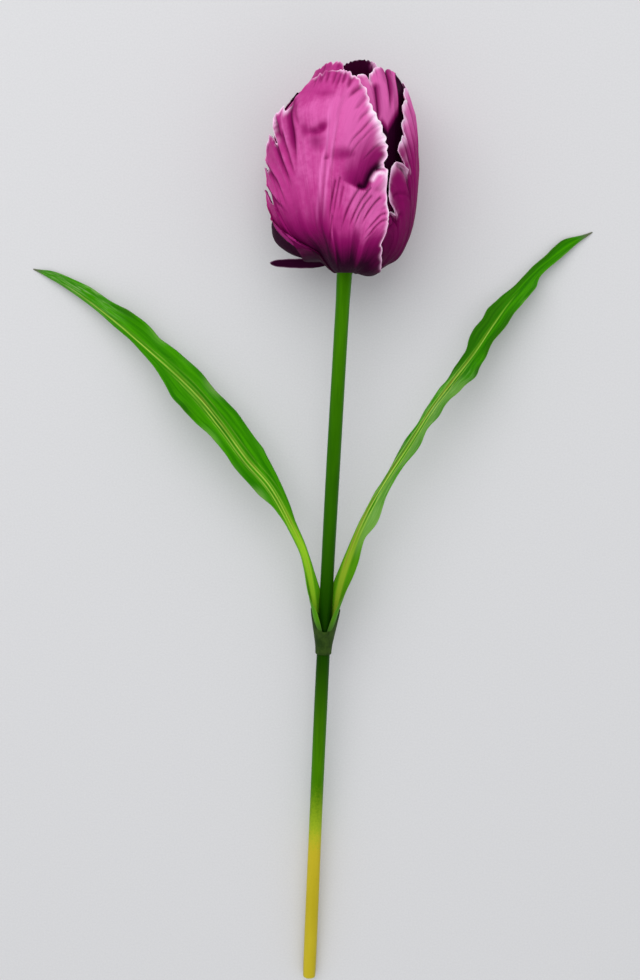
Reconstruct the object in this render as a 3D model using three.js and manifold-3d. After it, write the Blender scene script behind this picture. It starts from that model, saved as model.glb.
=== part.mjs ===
// A parrot tulip, cut and laid down on a flat surface: one round stem that ends in the receptacle, two
// arching leaves that clasp it above a collar, a closed bloom of six fringed tepals, and inside it a pistil
// and six stamens.
//
// Millimetres. The flower is modelled growing up its own +Z: the cut end of the stem is the origin, -Y is
// the side that faces up once it lies down, and +X is to its right. The last section tips it over so that
// +Z is up.

import * as THREE from "three";
import { mergeVertices } from "three/addons/utils/BufferGeometryUtils.js";
import Module from "manifold-3d";

const wasm = await Module();
wasm.setup();

// ---------------------------------------------------------------- driving dimensions

const SEAT_GAP = 0.3; // between two pieces that touch
const LYING_TILT = 4.52; // degrees the stem rises from its cut end to the bloom

const STEM = {
  length: 441, // cut end to the underside of the receptacle
  cutRadius: 3.9,
  collarRadius: 4.1, // where the collar holds it
  neckRadius: 4.5, // just under the bloom
  bow: 1.2, // sideways sag at half length
};
const RECEPTACLE = { radius: 5.6, height: 8.5, rounding: 1.2 };

const COLLAR = {
  bottom: 210.5, // distance from the cut end
  rim: 229.5,
  rimRadius: 7.4,
  bottomRadius: 4.9,
  notch: 3.5, // depth of the dips at the front and back, where the leaves part
};

const LEAF_THICKNESS = 0.9;
const TEPAL_THICKNESS = 0.8;

// Half a section through the bloom, as (radius, height above the receptacle's underside), from base to rim.
const OUTER_CUP = [
  [6.1, 3.0], [13.0, -0.8], [24.0, 3.0], [34.0, 14.0], [39.8, 26.0], [42.0, 45.0],
  [42.5, 64.0], [41.3, 84.0], [37.0, 101.0], [29.0, 113.0], [18.0, 121.0],
];
const INNER_CUP = [
  [6.3, 7.0], [12.0, 4.6], [21.0, 8.0], [30.0, 18.0], [35.5, 30.0], [37.8, 47.0],
  [38.0, 66.0], [36.5, 86.0], [32.0, 103.0], [24.0, 115.0], [13.0, 123.0],
];
const BLOOM_NOD = -2.8; // degrees the bloom leans to the left of the stem

// Each side of a tepal spans `width` degrees of the cup, its foot `foot` degrees of the receptacle. Its
// fringe is cut into LOBES, as deep in millimetres as listed from the tip to the base. Positive values of
// twist, curl and lean stand off the cup: twist along the sides of each lobe, curl over the whole margin,
// lean at the tip.
const LOBES = 6;
const TEPALS = [
  {
    name: "tepal_outer_front", cup: OUTER_CUP, azimuth: -16, length: 136,
    left: { width: 74, foot: 38, fringe: [2, 5, 9, 10, 0], twist: 1.3, curl: 2.6, lean: 0 },
    right: { width: 51.5, foot: 56, fringe: [2, 3, 2, 2, 0], twist: 0.6, curl: 1.0, lean: 0 },
  },
  {
    name: "tepal_outer_right", cup: OUTER_CUP, azimuth: 100, length: 133.5,
    left: { width: 61, foot: 50, fringe: [2, 6, 7, 7, 0], twist: 1.0, curl: 0.5, lean: 4.5 },
    right: { width: 55, foot: 52, fringe: [2, 5, 6, 5, 0], twist: 1.0, curl: 0.5, lean: 4.5 },
  },
  {
    name: "tepal_outer_left", cup: OUTER_CUP, azimuth: 213, length: 139,
    left: { width: 55, foot: 52, fringe: [3, 5, 6, 5, 0], twist: 1.0, curl: 0.5, lean: 0 },
    right: { width: 54, foot: 52, fringe: [3, 5, 7, 6, 0], twist: 1.0, curl: -1.0, lean: 0 },
  },
  {
    name: "tepal_inner_right", cup: INNER_CUP, azimuth: 42, length: 131,
    left: { width: 53, foot: 52, fringe: [2, 3, 3, 3, 0], twist: 0.6, curl: 0, lean: 1 },
    right: { width: 53, foot: 52, fringe: [2, 4, 3, 3, 0], twist: 0.6, curl: 0, lean: 5.5 },
  },
  {
    name: "tepal_inner_back", cup: INNER_CUP, azimuth: 162, length: 147,
    left: { width: 54, foot: 52, fringe: [3, 4, 3, 3, 0], twist: 0.6, curl: 0, lean: 1 },
    right: { width: 54, foot: 52, fringe: [3, 4, 3, 3, 0], twist: 0.6, curl: 0, lean: 1 },
  },
  {
    name: "tepal_inner_left", cup: INNER_CUP, azimuth: 282, length: 142,
    left: { width: 54, foot: 52, fringe: [2, 4, 3, 3, 0], twist: 0.6, curl: 0, lean: -2 },
    right: { width: 54, foot: 52, fringe: [2, 4, 3, 3, 0], twist: 0.6, curl: 0, lean: -2 },
  },
];
const BASE_CORNER = 0.86; // share of the half turn of a tepal's outline, from tip to foot

// The bloom isn't quite round: its foot is lifted on the left and droops on the right, and its top left is
// drawn in.
const FOOT = { rise: 7, droop: 6, from: 3, to: 30 };
const SHOULDER = { drawn: 0.32, from: 84, to: 112 };

// One slender lobe springs sideways from the foot of the outer left tepal.
const SPUR = { azimuth: 263, from: 12, to: 44, height: 5.2, halfWidth: 2.6, halfThickness: 0.7 };

// Each leaf follows its midrib, is rolled about it, and is a gutter of the given half widths and radius.
const LEAVES = [
  {
    name: "leaf_left",
    midrib: [
      [-7.9, 0, 229.8], [-10.6, -0.4, 250], [-16.2, -1.1, 272], [-25.3, -1.8, 290.5],
      [-38.1, -1.6, 311.7], [-52.6, -0.5, 327], [-67.2, 2.5, 344.8], [-83.1, 6.9, 362.3],
      [-99.7, 12, 376.7], [-115.8, 17.5, 388.9], [-135.9, 24.2, 403.4], [-157.3, 30.6, 417.9],
      [-177.3, 35.4, 429.1], [-190.1, 38.0, 433.9],
    ],
    upper: [9.0, 3.4, 2.6, 3.8, 8.6, 11.0, 11.6, 11.2, 10.8, 10.4, 9.2, 7.0, 3.8, 0.7],
    lower: [9.0, 3.4, 2.6, 3.8, 7.2, 8.6, 10.2, 12.6, 9.6, 5.0, 3.2, 2.2, 1.6, 0.7],
    roll: [0, 20, 48, 60, 64, 66, 68, 70, 70, 70, 70, 72, 74, 76],
    gutter: [6.7, 6, 7, 12, 20, 26, 30, 30, 30, 26, 20, 14, 10, 8],
  },
  {
    name: "leaf_right",
    midrib: [
      [5.5, 0, 229.8], [7.6, -1.0, 254], [12.0, -1.4, 273], [19.9, -1.3, 296],
      [30.5, 0.4, 317], [45.1, 3.6, 341.7], [56.5, 7.1, 361.5], [68.6, 11.5, 378.7],
      [80.0, 16.3, 394.5], [92.2, 22.0, 413.8], [104.3, 27.0, 431], [117.6, 32.3, 446.5],
      [134.5, 37.4, 461.8], [151.3, 41.0, 472.9],
    ],
    upper: [9.0, 4.4, 3.4, 2.6, 2.6, 3.6, 5.4, 6.0, 6.2, 7.2, 6.6, 5.4, 3.6, 0.7],
    lower: [9.0, 4.4, 3.6, 3.4, 3.6, 4.8, 6.2, 7.6, 7.6, 8.4, 7.8, 6.8, 4.6, 0.7],
    roll: [0, 25, 45, 50, 50, 50, 52, 56, 60, 60, 58, 56, 60, 66],
    gutter: [6.7, 6, 6, 7, 8, 11, 15, 18, 20, 20, 18, 14, 10, 8],
  },
];

const PISTIL = { length: 31, radius: 3.1, stigmaRadius: 5.2, lobes: 3 };
const STAMEN = {
  count: 6,
  ringRadius: 4.55, // of the circle they stand on
  lean: 9, // degrees outwards
  filament: 14,
  filamentRadius: 0.6,
  anther: 15,
  antherRadius: 1.7,
};

// ---------------------------------------------------------------- colours

const finish = (color, roughness) => new THREE.MeshStandardMaterial({ color, roughness, metalness: 0 });
const MATERIALS = {
  petal: finish(0xb8468f, 0.55),
  stem: finish(0x2f7a12, 0.5),
  leaf: finish(0x3a9a17, 0.45),
  collar: finish(0x33481f, 0.6),
  pistil: finish(0x9aa84a, 0.5),
  anther: finish(0x2a1230, 0.8),
};

// ---------------------------------------------------------------- small helpers

const radians = THREE.MathUtils.degToRad;
const smooth = (x, low, high) => THREE.MathUtils.smoothstep(x, low, high);

// The value at share t of the way along a list of evenly spaced values, on a smooth curve through them.
function along(values, t) {
  const last = values.length - 1;
  const at = Math.min(t, 1) * last;
  const i = Math.min(Math.floor(at), last - 1);
  const f = at - i;
  return values[i] + (values[i + 1] - values[i]) * f * f * (3 - 2 * f);
}

// A closed shell that tapers to nothing all round, so that its two faces share their border. face(c, w, side)
// is the point of the face on that side, 1 outer or 0 inner, at c across, from -1 to 1, and w along, from 0
// to 1. Both faces are split along the same diagonals, which keeps them apart where they curl, and the
// diagonals run into the four corners.
function shell(face, columns, rows) {
  const points = [];
  const index = [];
  for (const side of [1, 0]) {
    const start = points.length;
    for (let i = 0; i <= columns; i += 1) {
      for (let j = 0; j <= rows; j += 1) points.push(face((2 * i) / columns - 1, j / rows, side));
    }
    for (let i = 0; i < columns; i += 1) {
      for (let j = 0; j < rows; j += 1) {
        const a = start + i * (rows + 1) + j;
        const [b, c, d] = [a + 1, a + rows + 2, a + rows + 1];
        const split = i < columns / 2 === j < rows / 2 ? [a, c, b, a, d, c] : [a, d, b, b, d, c];
        index.push(...(side === 1 ? split : split.reverse()));
      }
    }
  }
  return new THREE.BufferGeometry().setFromPoints(points).setIndex(index);
}

// 0 on the edge of a shell and 1 a little way in.
function plump(c, w) {
  return (1 - Math.abs(c) ** 8) * (1 - Math.abs(2 * w - 1) ** 8);
}

function solid(geometry) {
  const bare = geometry.clone();
  bare.deleteAttribute("normal");
  bare.deleteAttribute("uv");
  const merged = mergeVertices(bare, 1e-3);
  const vertProperties = merged.attributes.position.array;
  return new wasm.Manifold(new wasm.Mesh({ numProp: 3, vertProperties, triVerts: merged.index.array }));
}

function geometryOf(body) {
  const made = body.getMesh();
  return new THREE.BufferGeometry()
    .setAttribute("position", new THREE.BufferAttribute(made.vertProperties, 3))
    .setIndex(new THREE.BufferAttribute(made.triVerts, 1));
}

function lathe(profile, segments) {
  const points = profile.map(([radius, height]) => new THREE.Vector2(radius, height));
  return new THREE.LatheGeometry(points, segments).rotateX(Math.PI / 2);
}

// ---------------------------------------------------------------- the bloom's tepals

function cupCurve(cup) {
  return new THREE.SplineCurve(cup.map(([radius, height]) => new THREE.Vector2(radius, height)));
}

// What makes the bloom less than round, applied to every point of it.
function settle(point) {
  const left = smooth(-point.x, 4, 15) - 0.6 * smooth(-point.x, 14, 34);
  const right = smooth(point.x, 16, 34);
  const low = 1 - smooth(point.z, FOOT.from, FOOT.to);
  const drawn = point.x < 0 ? SHOULDER.drawn * smooth(point.z, SHOULDER.from, SHOULDER.to) : 0;
  point.z += (FOOT.rise * left - FOOT.droop * right) * low;
  point.x *= 1 - drawn;
  return point;
}

// A point of the cup: run is the distance up it from the receptacle, and lift stands off it, outwards.
function cupPoint(curve, azimuth, run, lift) {
  const share = THREE.MathUtils.clamp(run / curve.getLength(), 0, 1);
  const at = curve.getPointAt(share);
  const tangent = curve.getTangentAt(share);
  const radius = at.x + lift * tangent.y;
  const height = at.y - lift * tangent.x;
  return settle(new THREE.Vector3(radius * Math.sin(azimuth), -radius * Math.cos(azimuth), height));
}

// The face of a tepal, as a fan of streamlines that rise from its foot and end on the fringe.
function tepalFace(tepal) {
  const curve = cupCurve(tepal.cup);
  return (c, w, outside) => {
    const side = c < 0 ? tepal.left : tepal.right;
    const q = Math.abs(c);
    const v = w ** 1.2;
    const turn = q * BASE_CORNER * Math.PI;
    const width = radians(side.width);
    const foot = radians(side.foot);
    const upper = turn < Math.PI / 2;
    const swell = Math.sin(turn) ** (upper ? 0.95 : 0.7);
    const rootAngle = foot * q;
    let endAngle = upper ? width * swell : foot + (width - foot) * swell;
    let endRun = (tepal.length * (1 + Math.cos(turn))) / 2;
    const bendAngle = rootAngle + 0.4 * (endAngle - rootAngle);
    const bendRun = 0.6 * endRun;

    // Each lobe's notch pulls the end of its streamline back towards the bend.
    const phase = LOBES * q + 0.5;
    const notch = Math.abs(2 * (phase - Math.floor(phase)) - 1) ** 2.5;
    const radius = curve.getPointAt(Math.min(endRun / curve.getLength(), 1)).x;
    const across = (endAngle - bendAngle) * radius;
    const up = endRun - bendRun;
    const reach = Math.hypot(across, up);
    const cut = Math.min(notch * along(side.fringe, q), 0.3 * reach);
    endAngle -= (cut * across) / reach / radius;
    endRun -= (cut * up) / reach;

    const a = (1 - v) ** 2;
    const b = 2 * v * (1 - v);
    const angle = a * rootAngle + b * bendAngle + v * v * endAngle;
    const run = b * bendRun + v * v * endRun;
    const edge = smooth(v, 0.35, 1);
    const louvre = side.twist * Math.sin(2 * Math.PI * phase) * edge * (1 - smooth(q, 0.7, 0.92));
    const curl = side.curl * edge * smooth(q, 0.15, 0.5) * (1 - smooth(q, 0.75, 1));
    const leaning = tepal.left.lean + (tepal.right.lean - tepal.left.lean) * smooth(c, -0.6, 0.6);
    const lean = leaning * smooth(run, 0.68 * tepal.length, tepal.length);
    const lift = louvre + curl + lean - (1 - outside) * TEPAL_THICKNESS * plump(c, w);
    return cupPoint(curve, radians(tepal.azimuth) + Math.sign(c) * angle, run, lift);
  };
}

function spurGeometry() {
  const { azimuth, from, to, height, halfWidth, halfThickness } = SPUR;
  const bar = new THREE.SphereGeometry(1, 12, 8).scale((to - from) / 2, halfThickness, halfWidth);
  return bar.translate((from + to) / 2, 0, height).rotateZ(radians(azimuth - 90));
}

function tepalMesh(tepal) {
  let geometry = shell(tepalFace(tepal), 8 * LOBES, 9);
  if (tepal.name === "tepal_outer_left") {
    geometry = geometryOf(solid(geometry).add(solid(spurGeometry())));
  }
  return mesh(tepal.name, geometry, MATERIALS.petal);
}

// ---------------------------------------------------------------- the leaves and their collar

function leafFace(leaf) {
  const midrib = new THREE.CatmullRomCurve3(leaf.midrib.map((p) => new THREE.Vector3(...p)));
  const towardsStem = -Math.sign(leaf.midrib[0][0]);
  const front = new THREE.Vector3(0, -1, 0);
  return (c, w, outside) => {
    const at = midrib.getPoint(w);
    const tangent = midrib.getTangent(w);
    const inward = new THREE.Vector3().crossVectors(tangent, front).multiplyScalar(towardsStem).normalize();
    const roll = radians(along(leaf.roll, w));
    const facing = inward.clone().multiplyScalar(Math.cos(roll)).addScaledVector(front, Math.sin(roll));
    const normal = facing.addScaledVector(tangent, -facing.dot(tangent)).normalize();
    const across = new THREE.Vector3().crossVectors(normal, tangent);
    const half = along(c * towardsStem > 0 ? leaf.lower : leaf.upper, w);
    const gutter = along(leaf.gutter, w);
    const bend = (c * half) / gutter;
    const depth = (1 - outside) * LEAF_THICKNESS * plump(c, w) * (1 - 0.6 * w);
    return at
      .addScaledVector(across, (gutter - depth) * Math.sin(bend))
      .addScaledVector(normal, gutter - (gutter - depth) * Math.cos(bend));
  };
}

function leafMesh(leaf) {
  return mesh(leaf.name, shell(leafFace(leaf), 6, 39), MATERIALS.leaf);
}

// How far the stem sags sideways at a distance z from its cut end.
function sag(z) {
  return -STEM.bow * Math.sin(Math.PI * Math.min(z / STEM.length, 1));
}

function collarMesh() {
  const bore = STEM.collarRadius + SEAT_GAP;
  const { bottom, rim, rimRadius, bottomRadius, notch } = COLLAR;
  const geometry = lathe(
    [
      [bore, bottom], [bottomRadius, bottom], [rimRadius - 0.6, rim - 7], [rimRadius, rim],
      [rimRadius - 1.2, rim], [bore, rim - 8], [bore, bottom],
    ],
    24,
  );
  const place = geometry.attributes.position;
  for (let i = 0; i < place.count; i += 1) {
    const azimuth = Math.atan2(place.getX(i), -place.getY(i));
    const height = smooth(place.getZ(i), rim - 7, rim);
    place.setZ(i, place.getZ(i) - notch * height * Math.cos(azimuth) ** 2);
  }
  geometry.translate(sag((bottom + rim) / 2), 0, 0);
  return mesh("leaf_collar", geometry, MATERIALS.collar);
}

// ---------------------------------------------------------------- the stem, the pistil and the stamens

function stemMesh() {
  const { length, cutRadius, collarRadius, neckRadius } = STEM;
  const { radius, height, rounding } = RECEPTACLE;
  const geometry = lathe(
    [
      [0, 0], [cutRadius, 0], [4.0, 60], [4.0, 130], [collarRadius, COLLAR.bottom],
      [collarRadius, COLLAR.rim], [4.2, 300], [4.35, 370], [neckRadius, length - 6],
      [neckRadius, length - 1.5], [radius, length + 1], [radius, length + height - rounding],
      [radius - rounding, length + height], [0, length + height],
    ],
    20,
  );
  const place = geometry.attributes.position;
  for (let i = 0; i < place.count; i += 1) {
    place.setX(i, place.getX(i) + sag(place.getZ(i)));
  }
  return mesh("stem", geometry, MATERIALS.stem);
}

function pistilMesh() {
  const { length, radius, stigmaRadius, lobes } = PISTIL;
  const geometry = lathe(
    [
      [0, 0], [radius * 0.8, 0], [radius, 4], [radius, length * 0.6], [radius * 0.72, length - 5],
      [stigmaRadius, length - 2.4], [stigmaRadius * 0.9, length - 0.6], [1.2, length - 1.6],
      [0, length - 2],
    ],
    24,
  );
  const place = geometry.attributes.position;
  for (let i = 0; i < place.count; i += 1) {
    const [x, y, z] = [place.getX(i), place.getY(i), place.getZ(i)];
    const lobed = 1 + 0.16 * Math.cos(lobes * Math.atan2(y, x)) * smooth(z, 2, length);
    place.setXYZ(i, x * lobed, y * lobed, z);
  }
  return mesh("pistil", geometry, MATERIALS.pistil);
}

function stamenMesh(index) {
  const { count, ringRadius, lean, filament, filamentRadius, anther, antherRadius } = STAMEN;
  const top = filament + anther;
  const geometry = lathe(
    [
      [0, 0], [filamentRadius, 0], [filamentRadius, filament - 1], [antherRadius, filament + 1.5],
      [antherRadius, top - 3], [antherRadius * 0.6, top - 0.6], [0, top],
    ],
    10,
  );
  const azimuth = 30 + (360 / count) * index;
  const stamen = mesh(`stamen_${index + 1}`, geometry, MATERIALS.anther);
  stamen.geometry.rotateY(radians(lean)).translate(ringRadius, 0, 0).rotateZ(radians(azimuth));
  return stamen;
}

// ---------------------------------------------------------------- putting it together

function mesh(name, geometry, material) {
  const made = new THREE.Mesh(geometry, material);
  made.name = name;
  return made;
}

// What stands on the receptacle's flat top.
function heart() {
  const group = new THREE.Group();
  group.add(pistilMesh());
  for (let i = 0; i < STAMEN.count; i += 1) group.add(stamenMesh(i));
  group.position.z = RECEPTACLE.height + SEAT_GAP;
  return group;
}

function bloom() {
  const tepals = new THREE.Group();
  TEPALS.forEach((tepal) => tepals.add(tepalMesh(tepal)));
  tepals.rotation.y = radians(BLOOM_NOD);
  const group = new THREE.Group();
  group.add(tepals, heart());
  group.position.z = STEM.length;
  return group;
}

const flower = new THREE.Group();
flower.add(stemMesh(), collarMesh(), bloom());
LEAVES.forEach((leaf) => flower.add(leafMesh(leaf)));

// Tipped over on its back, with the bloom towards +Y, resting on z = 0 and centred on the origin.
flower.rotation.x = radians(LYING_TILT - 90);
flower.updateMatrixWorld(true);
const box = new THREE.Box3().setFromObject(flower, true);
flower.position.set(-(box.min.x + box.max.x) / 2, -(box.min.y + box.max.y) / 2, -box.min.z);

const part = new THREE.Group();
part.add(flower);
export default part;
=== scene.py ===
"""A parrot tulip laid on a pale surface.

The petals and leaves are thin sheets, each shaped along its own streamlines: c runs across the sheet, from -1
to 1, and w runs from its foot, 0, to its margin or tip, 1. q is how far a streamline is from the middle one.
Sizes are in millimetres along the flower, with the cut end of the stem as the origin, Z up the stem, X to its
right and -Y towards the side that faces up. They become metres in the frame of the model only when a piece is
put in its place.
"""

import math

import bpy
import numpy as np
from mathutils import Matrix, Vector
from mathutils.kdtree import KDTree


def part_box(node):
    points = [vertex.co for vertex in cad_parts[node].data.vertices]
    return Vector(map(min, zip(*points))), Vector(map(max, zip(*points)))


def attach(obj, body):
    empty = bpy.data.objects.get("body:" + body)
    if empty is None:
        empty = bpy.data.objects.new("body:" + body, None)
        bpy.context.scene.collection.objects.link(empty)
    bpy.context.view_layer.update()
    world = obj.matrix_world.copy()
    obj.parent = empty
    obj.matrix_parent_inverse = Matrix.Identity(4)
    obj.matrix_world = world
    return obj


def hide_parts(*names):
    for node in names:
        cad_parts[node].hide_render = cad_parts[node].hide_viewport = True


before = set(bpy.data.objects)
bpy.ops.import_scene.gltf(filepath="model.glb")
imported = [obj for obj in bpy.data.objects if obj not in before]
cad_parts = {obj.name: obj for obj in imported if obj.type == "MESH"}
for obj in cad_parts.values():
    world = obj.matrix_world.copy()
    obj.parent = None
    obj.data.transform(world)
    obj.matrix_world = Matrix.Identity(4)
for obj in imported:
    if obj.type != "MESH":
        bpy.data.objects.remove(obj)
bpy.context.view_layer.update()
bpy.ops.object.select_all(action="DESELECT")

# ---------------------------------------------------------------------------------- where the flower lies

METRE = 1000  # in millimetres
STEM_LENGTH = 441.0
CUT_RADIUS = 3.9
LYING_TILT = math.radians(4.52)  # how much the stem rises towards the bloom
BLOOM_NOD = math.radians(-2.8)  # how much the bloom leans to the left of the stem
FLOOR_GAP = 0.2  # the least height of a sheet above the surface

low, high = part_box("stem")
ORIGIN = np.array(
    [
        METRE * (low.x + high.x) / 2,
        METRE * low.y + CUT_RADIUS * math.sin(LYING_TILT),
        METRE * low.z + CUT_RADIUS * math.cos(LYING_TILT),
    ]
)


def laid(points):
    """Points along the flower, in millimetres, as places in the model's frame, in metres."""
    x, y, z = np.moveaxis(np.asarray(points, float), -1, 0)
    cosine, sine = math.cos(LYING_TILT), math.sin(LYING_TILT)
    return (np.stack([x, z * cosine + y * sine, z * sine - y * cosine], -1) + ORIGIN) / METRE


def nodded(x, y, z):
    """Points above the top of an upright stem, leaned with the bloom and put on the stem."""
    cosine, sine = math.cos(BLOOM_NOD), math.sin(BLOOM_NOD)
    return np.stack([x * cosine + z * sine, y, z * cosine - x * sine + STEM_LENGTH], -1)


# ---------------------------------------------------------------------------------- small helpers


def smooth(x, start, stop):
    """0 up to start, 1 from stop on, and an easy rise between them."""
    t = np.clip((np.asarray(x, float) - start) / (stop - start), 0, 1)
    return t * t * (3 - 2 * t)


def between(x, start, full, still, stop):
    """0 before start, 1 from full to still, and 0 again after stop."""
    return smooth(x, start, full) * (1 - smooth(x, still, stop))


def bell(x, width):
    """1 at 0, and less and less on both sides of it."""
    return np.exp(-((x / width) ** 2))


def unit(vectors):
    return vectors / np.linalg.norm(vectors, axis=-1, keepdims=True)


def waver(x, seed, octaves):
    """A random smooth curve of x, from about -1 to 1, with a bend or so each unit."""
    steps = np.random.default_rng(seed).uniform(-1, 1, 512)
    total = np.zeros(np.shape(x))
    for octave in range(octaves):
        t = np.asarray(x, float) * 2**octave + 57 * octave
        i = np.floor(t).astype(int)
        f = t - i
        f = f * f * (3 - 2 * f)
        total += (steps[i % 512] * (1 - f) + steps[(i + 1) % 512] * f) / 2**octave
    return total


def lumps(x, y, seed):
    """Random smooth lumps, from about -1 to 1, one to each unit square."""
    heights = np.random.default_rng(seed).uniform(-1, 1, (64, 64))
    i, j = np.floor(x).astype(int), np.floor(y).astype(int)
    f, g = x - i, y - j
    f, g = f * f * (3 - 2 * f), g * g * (3 - 2 * g)
    rows = [heights[(i + k) % 64, j % 64] * (1 - g) + heights[(i + k) % 64, (j + 1) % 64] * g for k in (0, 1)]
    return rows[0] * (1 - f) + rows[1] * f


def softened(values, times):
    """A table of values blurred along both of its directions."""
    for _ in range(times):
        for axis in (0, 1):
            padded = np.pad(values, [(1, 1) if k == axis else (0, 0) for k in (0, 1)], "edge")
            values = sum(np.take(padded, range(k, k + values.shape[axis]), axis) for k in (0, 1, 2)) / 3
    return values


def distance_to(points, path):
    """How far each point is from a path of short steps, and how far along the path its nearest place is."""
    nearest, along = np.full(points.shape[:-1], np.inf), np.zeros(points.shape[:-1])
    for k, (start, stop) in enumerate(zip(path[:-1], path[1:])):
        step = stop - start
        share = np.clip(((points - start) @ step) / max(step @ step, 1e-9), 0, 1)
        away = np.linalg.norm(points - start - share[..., None] * step, axis=-1)
        along = np.where(away < nearest, (k + share) / (len(path) - 1), along)
        nearest = np.minimum(nearest, away)
    return nearest, along


def streamlines(columns, rows):
    """The c and the w of every vertex of a sheet."""
    w, c = np.meshgrid(np.linspace(0, 1, rows + 1), np.linspace(-1, 1, columns + 1), indexing="ij")
    return c, w


# ---------------------------------------------------------------------------------- making a sheet


def new_sheet(name, columns, rows):
    """A flat grid to be shaped, and the column and row of each of its vertices."""
    bpy.ops.object.select_all(action="DESELECT")
    bpy.ops.mesh.primitive_grid_add(x_subdivisions=columns, y_subdivisions=rows, size=2)
    piece = bpy.context.object
    piece.name = piece.data.name = name
    place = np.empty(len(piece.data.vertices) * 3, np.float32)
    piece.data.vertices.foreach_get("co", place)
    column = np.rint((place[0::3] + 1) / 2 * columns).astype(int)
    row = np.rint((place[1::3] + 1) / 2 * rows).astype(int)
    return piece, column, row


def shape_sheet(sheet, points, uv, marks, skins):
    """Puts a grid's vertices on the points, and gives it its UV map, its marks and its two skins."""
    piece, column, row = sheet
    mesh = piece.data
    for skin in skins:
        mesh.materials.append(skin)
    places = laid(points)[row, column]
    places[:, 2] = np.maximum(places[:, 2], FLOOR_GAP / METRE)
    mesh.vertices.foreach_set("co", places.astype(np.float32).ravel())
    corners = np.empty(len(mesh.loops), np.int32)
    mesh.loops.foreach_get("vertex_index", corners)
    spots = np.stack([values[row, column] for values in uv], -1)[corners]
    mesh.uv_layers.active.data.foreach_set("uv", spots.astype(np.float32).ravel())
    for name, values in marks.items():
        layer = mesh.attributes.new(name, "FLOAT", "POINT")
        layer.data.foreach_set("value", values[row, column].astype(np.float32))


def thicken_sheet(sheet, thick, thickness, edge_share):
    """Makes a sheet solid, at its full thickness where thick is 1, and at the edge's share of it at 0."""
    piece, column, row = sheet
    body = piece.vertex_groups.new(name="body")
    tenths = np.rint(thick[row, column] * 10)
    for tenth in range(1, 11):
        members = np.nonzero(tenths == tenth)[0]
        if len(members):
            body.add(members.tolist(), tenth / 10, "REPLACE")
    bpy.ops.object.shade_smooth()
    skin = piece.modifiers.new("skin", "SOLIDIFY")
    skin.thickness = thickness / METRE
    skin.offset = -1
    skin.vertex_group = "body"
    skin.thickness_vertex_group = edge_share
    skin.material_offset = 1
    skin.use_even_offset = False
    bpy.ops.object.modifier_apply(modifier="skin")
    piece.vertex_groups.clear()
    return piece


def finished(piece, slot, *nodes):
    """Hands a piece over: it rides on the flower and takes the place of its CAD nodes. Its slot is not used.
    """
    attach(piece, "root")
    if nodes:
        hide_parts(*nodes)


# ---------------------------------------------------------------------------------- materials


def new_material(name):
    material = bpy.data.materials.new(name)
    material.use_nodes = True
    tree = material.node_tree
    tree.nodes.clear()
    output = tree.nodes.new("ShaderNodeOutputMaterial")
    shader = tree.nodes.new("ShaderNodeBsdfPrincipled")
    tree.links.new(shader.outputs["BSDF"], output.inputs["Surface"])
    return material, tree, shader


def put(tree, socket, value):
    """Sets a socket to a number or colour, or links another socket into it."""
    if isinstance(value, bpy.types.NodeSocket):
        tree.links.new(value, socket)
    elif isinstance(value, tuple) and len(value) == 3 and len(socket.default_value) == 4:
        socket.default_value = (*value, 1)
    else:
        socket.default_value = value


def calc(tree, operation, *values):
    node = tree.nodes.new("ShaderNodeMath")
    node.operation = operation
    for socket, value in zip(node.inputs, values):
        put(tree, socket, value)
    return node.outputs[0]


def fit(tree, value, low, high, to_low=0.0, to_high=1.0):
    """Eases a value from one range into another, and holds it at the ends."""
    node = tree.nodes.new("ShaderNodeMapRange")
    node.interpolation_type = "SMOOTHSTEP"
    names = ("Value", "From Min", "From Max", "To Min", "To Max")
    for name, number in zip(names, (value, low, high, to_low, to_high)):
        put(tree, node.inputs[name], number)
    return node.outputs["Result"]


def mix(tree, share, first, second):
    """The first colour where the share is 0, and the second where it is 1."""
    node = tree.nodes.new("ShaderNodeMix")
    node.data_type = "RGBA"
    put(tree, node.inputs[0], share)
    put(tree, node.inputs[6], first)
    put(tree, node.inputs[7], second)
    return node.outputs[2]


def wash(tree, colour, tint, value, start, stop, from_share=0.0, to_share=1.0):
    """Lays a tint over a colour, more or less of it as the value goes from start to stop."""
    return mix(tree, fit(tree, value, start, stop, from_share, to_share), colour, tint)


def mark(tree, name):
    node = tree.nodes.new("ShaderNodeAttribute")
    node.attribute_name = name
    return node.outputs["Fac"]


def coordinates(tree, kind):
    return tree.nodes.new("ShaderNodeTexCoord").outputs[kind]


def stretched(tree, source, scale, shift=(0.0, 0.0, 0.0)):
    node = tree.nodes.new("ShaderNodeMapping")
    put(tree, node.inputs["Vector"], source)
    node.inputs["Scale"].default_value = scale
    node.inputs["Location"].default_value = shift
    return node.outputs["Vector"]


def noise(tree, source, scale, detail, roughness, distortion=0.0):
    node = tree.nodes.new("ShaderNodeTexNoise")
    put(tree, node.inputs["Vector"], source)
    names = ("Scale", "Detail", "Roughness", "Distortion")
    for name, number in zip(names, (scale, detail, roughness, distortion)):
        node.inputs[name].default_value = number
    return node.outputs["Fac"]


def add_noise(tree, total, texture, strength):
    return calc(tree, "MULTIPLY_ADD", calc(tree, "SUBTRACT", texture, 0.5), strength, total)


def bump(tree, shader, height, depth, strength):
    node = tree.nodes.new("ShaderNodeBump")
    node.inputs["Distance"].default_value = depth
    node.inputs["Strength"].default_value = strength
    put(tree, node.inputs["Height"], height)
    tree.links.new(node.outputs["Normal"], shader.inputs["Normal"])


def surface(tree, shader, colour, texture, roughness):
    """Sets a skin's colour, and its roughness from one end to the other of a texture's middle range."""
    put(tree, shader.inputs["Base Color"], colour)
    put(tree, shader.inputs["Roughness"], fit(tree, texture, 0.3, 0.7, *roughness))


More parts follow.
